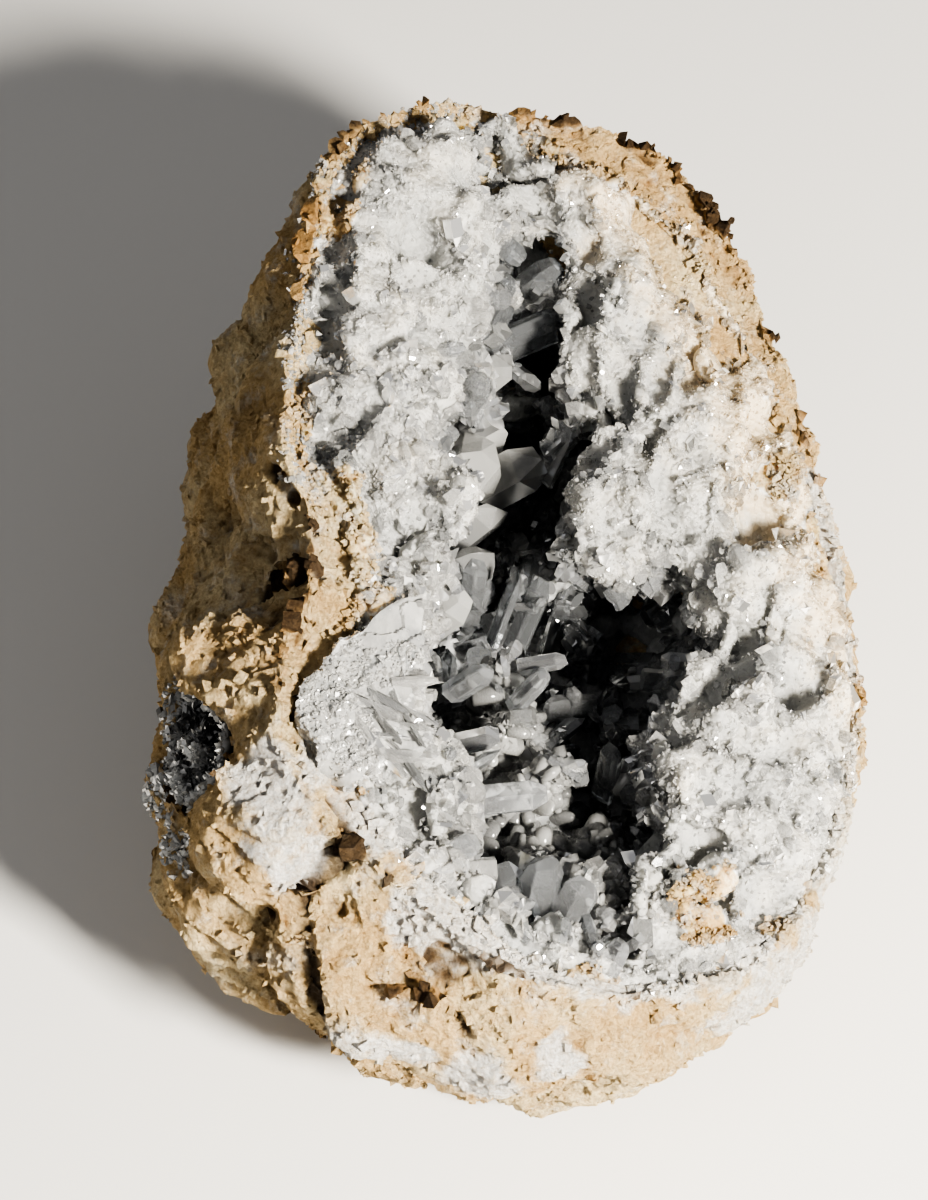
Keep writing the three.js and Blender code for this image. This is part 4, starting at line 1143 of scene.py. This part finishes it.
frosted = Recipe("frosted celestite")
where = frosted.place()
streaked = frosted.node("VectorMath", {0: where, 1: (1, 0.13, 1)}, operation="MULTIPLY").outputs[0]
veil = frosted.noise(7, 5, 0.65, at=where)
fibre = frosted.noise(1.6, 5, 0.6, at=streaked)
colour = frosted.blend(frosted.between(veil, 0.36, 0.64), (0.74, 0.735, 0.71), (0.48, 0.49, 0.49))
colour = frosted.blend(frosted.between(fibre, 0.45, 0.7, 0, 0.6), colour, (0.82, 0.81, 0.78))
frosted.feed({"Base Color": colour, "Roughness": frosted.between(veil, 0.35, 0.65, 0.1, 0.3)})
frosted.feed({"IOR": CELESTITE_IOR, "Transmission Weight": 0.6})
frosted.bumps([(fibre, 0.3, 0.5), (frosted.noise(0.9, 4, at=where), 0.15, 0.5)])
plate.data.materials.append(frosted.material)

# It carries a dusting of sugar, thickest on its left, and blocks along its right edge.
on_top = np.flatnonzero(plate_normals[:, 2] > 0.5)
sugared = cloudy(plate_places[on_top], 9, shift=8) - 0.045 * (plate_places[on_top, 0] / MM + 23)
top_sites = picked(on_top, 0.5 * (sugared > -0.1))
plate_ground = (plate_places, plate_normals, np.full(len(plate_places), 0.25))
habit = {"widths": (9, 0.09, 0.4, 1.5), "stretch": (0.8, 1.3), "lean": 0.4, "root": 0.6}
strewn("plate_druse", plate_ground, top_sites, GRAIN_SHAPES, sugar, **habit)
at_edge = np.flatnonzero((plate_normals[:, 0] > 0.75) & (plate_places[:, 0] > -19 * MM))
at_edge = picked(at_edge, 0.05)
habit = {"widths": (8, 0.25, 1, 3.4), "stretch": (0.9, 1.6), "lean": 0.6, "root": 0.5}
strewn("plate_edge", plate_ground, at_edge, BLOCK_SHAPES, clearer, **habit)

# Long blades fan out of the plate's lower right, over the mouth.
PLATE_BLADES = 34
BLADE_ROOTS = ((-33, -60), (-19, -44))
BLADE_SINK = 0.8

sites = rng.uniform(*BLADE_ROOTS, (PLATE_BLADES, 2))
roots = np.column_stack([sites, plate_top(*sites.T) - BLADE_SINK]) * MM
turns = np.radians(rng.uniform(-75, 5, PLATE_BLADES))
rises = rng.uniform(-0.22, 0.12, PLATE_BLADES)
ways = unit(np.column_stack([np.cos(turns), np.sin(turns), rises]))
width = rng.uniform(1.3, 2.7, PLATE_BLADES)
sizes = np.column_stack([width, 0.7 * width, rng.uniform(6, 11, PLATE_BLADES)]) * MM
tones = {"tone": rng.random(PLATE_BLADES)}
grown("plate_blades", BLOCK_SHAPES, roots, ways, sizes, tones, clearer)

# ---- pocket in the left flank ----
# A small hollow of its own in the rock. Its lining is dull and is painted darker inwards, as painted shade,
# and short crystals, painted darker inwards in the same way, crowd together on it. They are copies of the
# sugar's three models.

POCKET_VOXEL = 0.65 * MM
POCKET_CRYSTALS = 1500

pocket = skin_over("pocket_crystals", "pocket_lining", POCKET_VOXEL)
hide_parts("pocket_crystals")
bpy.ops.object.shade_smooth()
rng = np.random.default_rng(31)
pocket_places, pocket_normals = points_of(pocket)
shown = distance_to(rind_tree, pocket_places) > 0.6 * MM
mouth = unit(pocket_normals[shown].mean(axis=0))
sunken = -(pocket_places @ mouth)
highest, lowest = np.percentile(sunken[shown], (4, 80))
sunken = np.clip((sunken - highest) / (lowest - highest), 0, 1)
keep(pocket, "sunken", sunken)
roughen(pocket, "VORONOI", 3.5, -2.2, "", middle=0.2, **ROUNDED)

dull = Recipe("dull celestite")
grain = dull.noise(0.8, 5)
pale = dull.blend(grain, (0.2, 0.2, 0.19), (0.42, 0.415, 0.4))
pocket_shadow = dull.blend(grain, (0.012, 0.012, 0.012), (0.035, 0.035, 0.035))
# Painted shade: the lining goes from pale to near black further into the pocket.
colour = dull.blend(dull.between(dull.value("sunken"), 0.1, 0.55), pale, pocket_shadow)
dull.feed({"Base Color": colour, "Roughness": 0.4, "IOR": CELESTITE_IOR})
dull.bumps([(grain, 0.4, 0.6)])
pocket.data.materials.append(dull.material)

pocket_places, pocket_normals = points_of(pocket)
chosen = rng.choice(np.flatnonzero(shown), POCKET_CRYSTALS, replace=False)
up = unit(pocket_normals[chosen] + 0.5 * rng.normal(size=(POCKET_CRYSTALS, 3)))
width = rng.gamma(6, 0.17, POCKET_CRYSTALS).clip(0.5, 2.0)
length = width * rng.uniform(1.0, 1.8, POCKET_CRYSTALS)
sizes = np.stack([width, width, length], axis=1) * MM
feet = pocket_places[chosen] - up * (0.45 * length * MM)[:, None]
# Painted shade: the crystals darken further into the pocket.
tones = {"tone": np.clip(sunken[chosen] * 1.6 + 0.1 * rng.normal(size=POCKET_CRYSTALS), 0, 1)}
shaded_pocket = crystal_material(
    "smoky celestite", milk=0.7, roughness=0.2, tint=(0.5, 0.5, 0.485), shade=(0.05, 0.05, 0.05)
)
grown("pocket_points", GRAIN_SHAPES, feet, up, sizes, tones, shaded_pocket)

# Pale crystals have also spread over the rock on the pocket's outer side, each spot with its reach in mm.
POCKET_BANKS = [(-64, -38, 62, 9), (-61, -62, 52, 7), (-66, -50, 52, 7)]
bank_share = near(rock_places, POCKET_BANKS) * (to_crust > 4 * MM)
bank_sites = picked(np.arange(len(rock_places)), 0.95 * bank_share)
habit = {"widths": (9, 0.16, 0.6, 2.4), "stretch": (0.8, 1.4), "lean": 0.5, "root": 0.55}
strewn("pocket_banks", rock_ground, bank_sites, GRAIN_SHAPES, shaded_pocket, **habit)
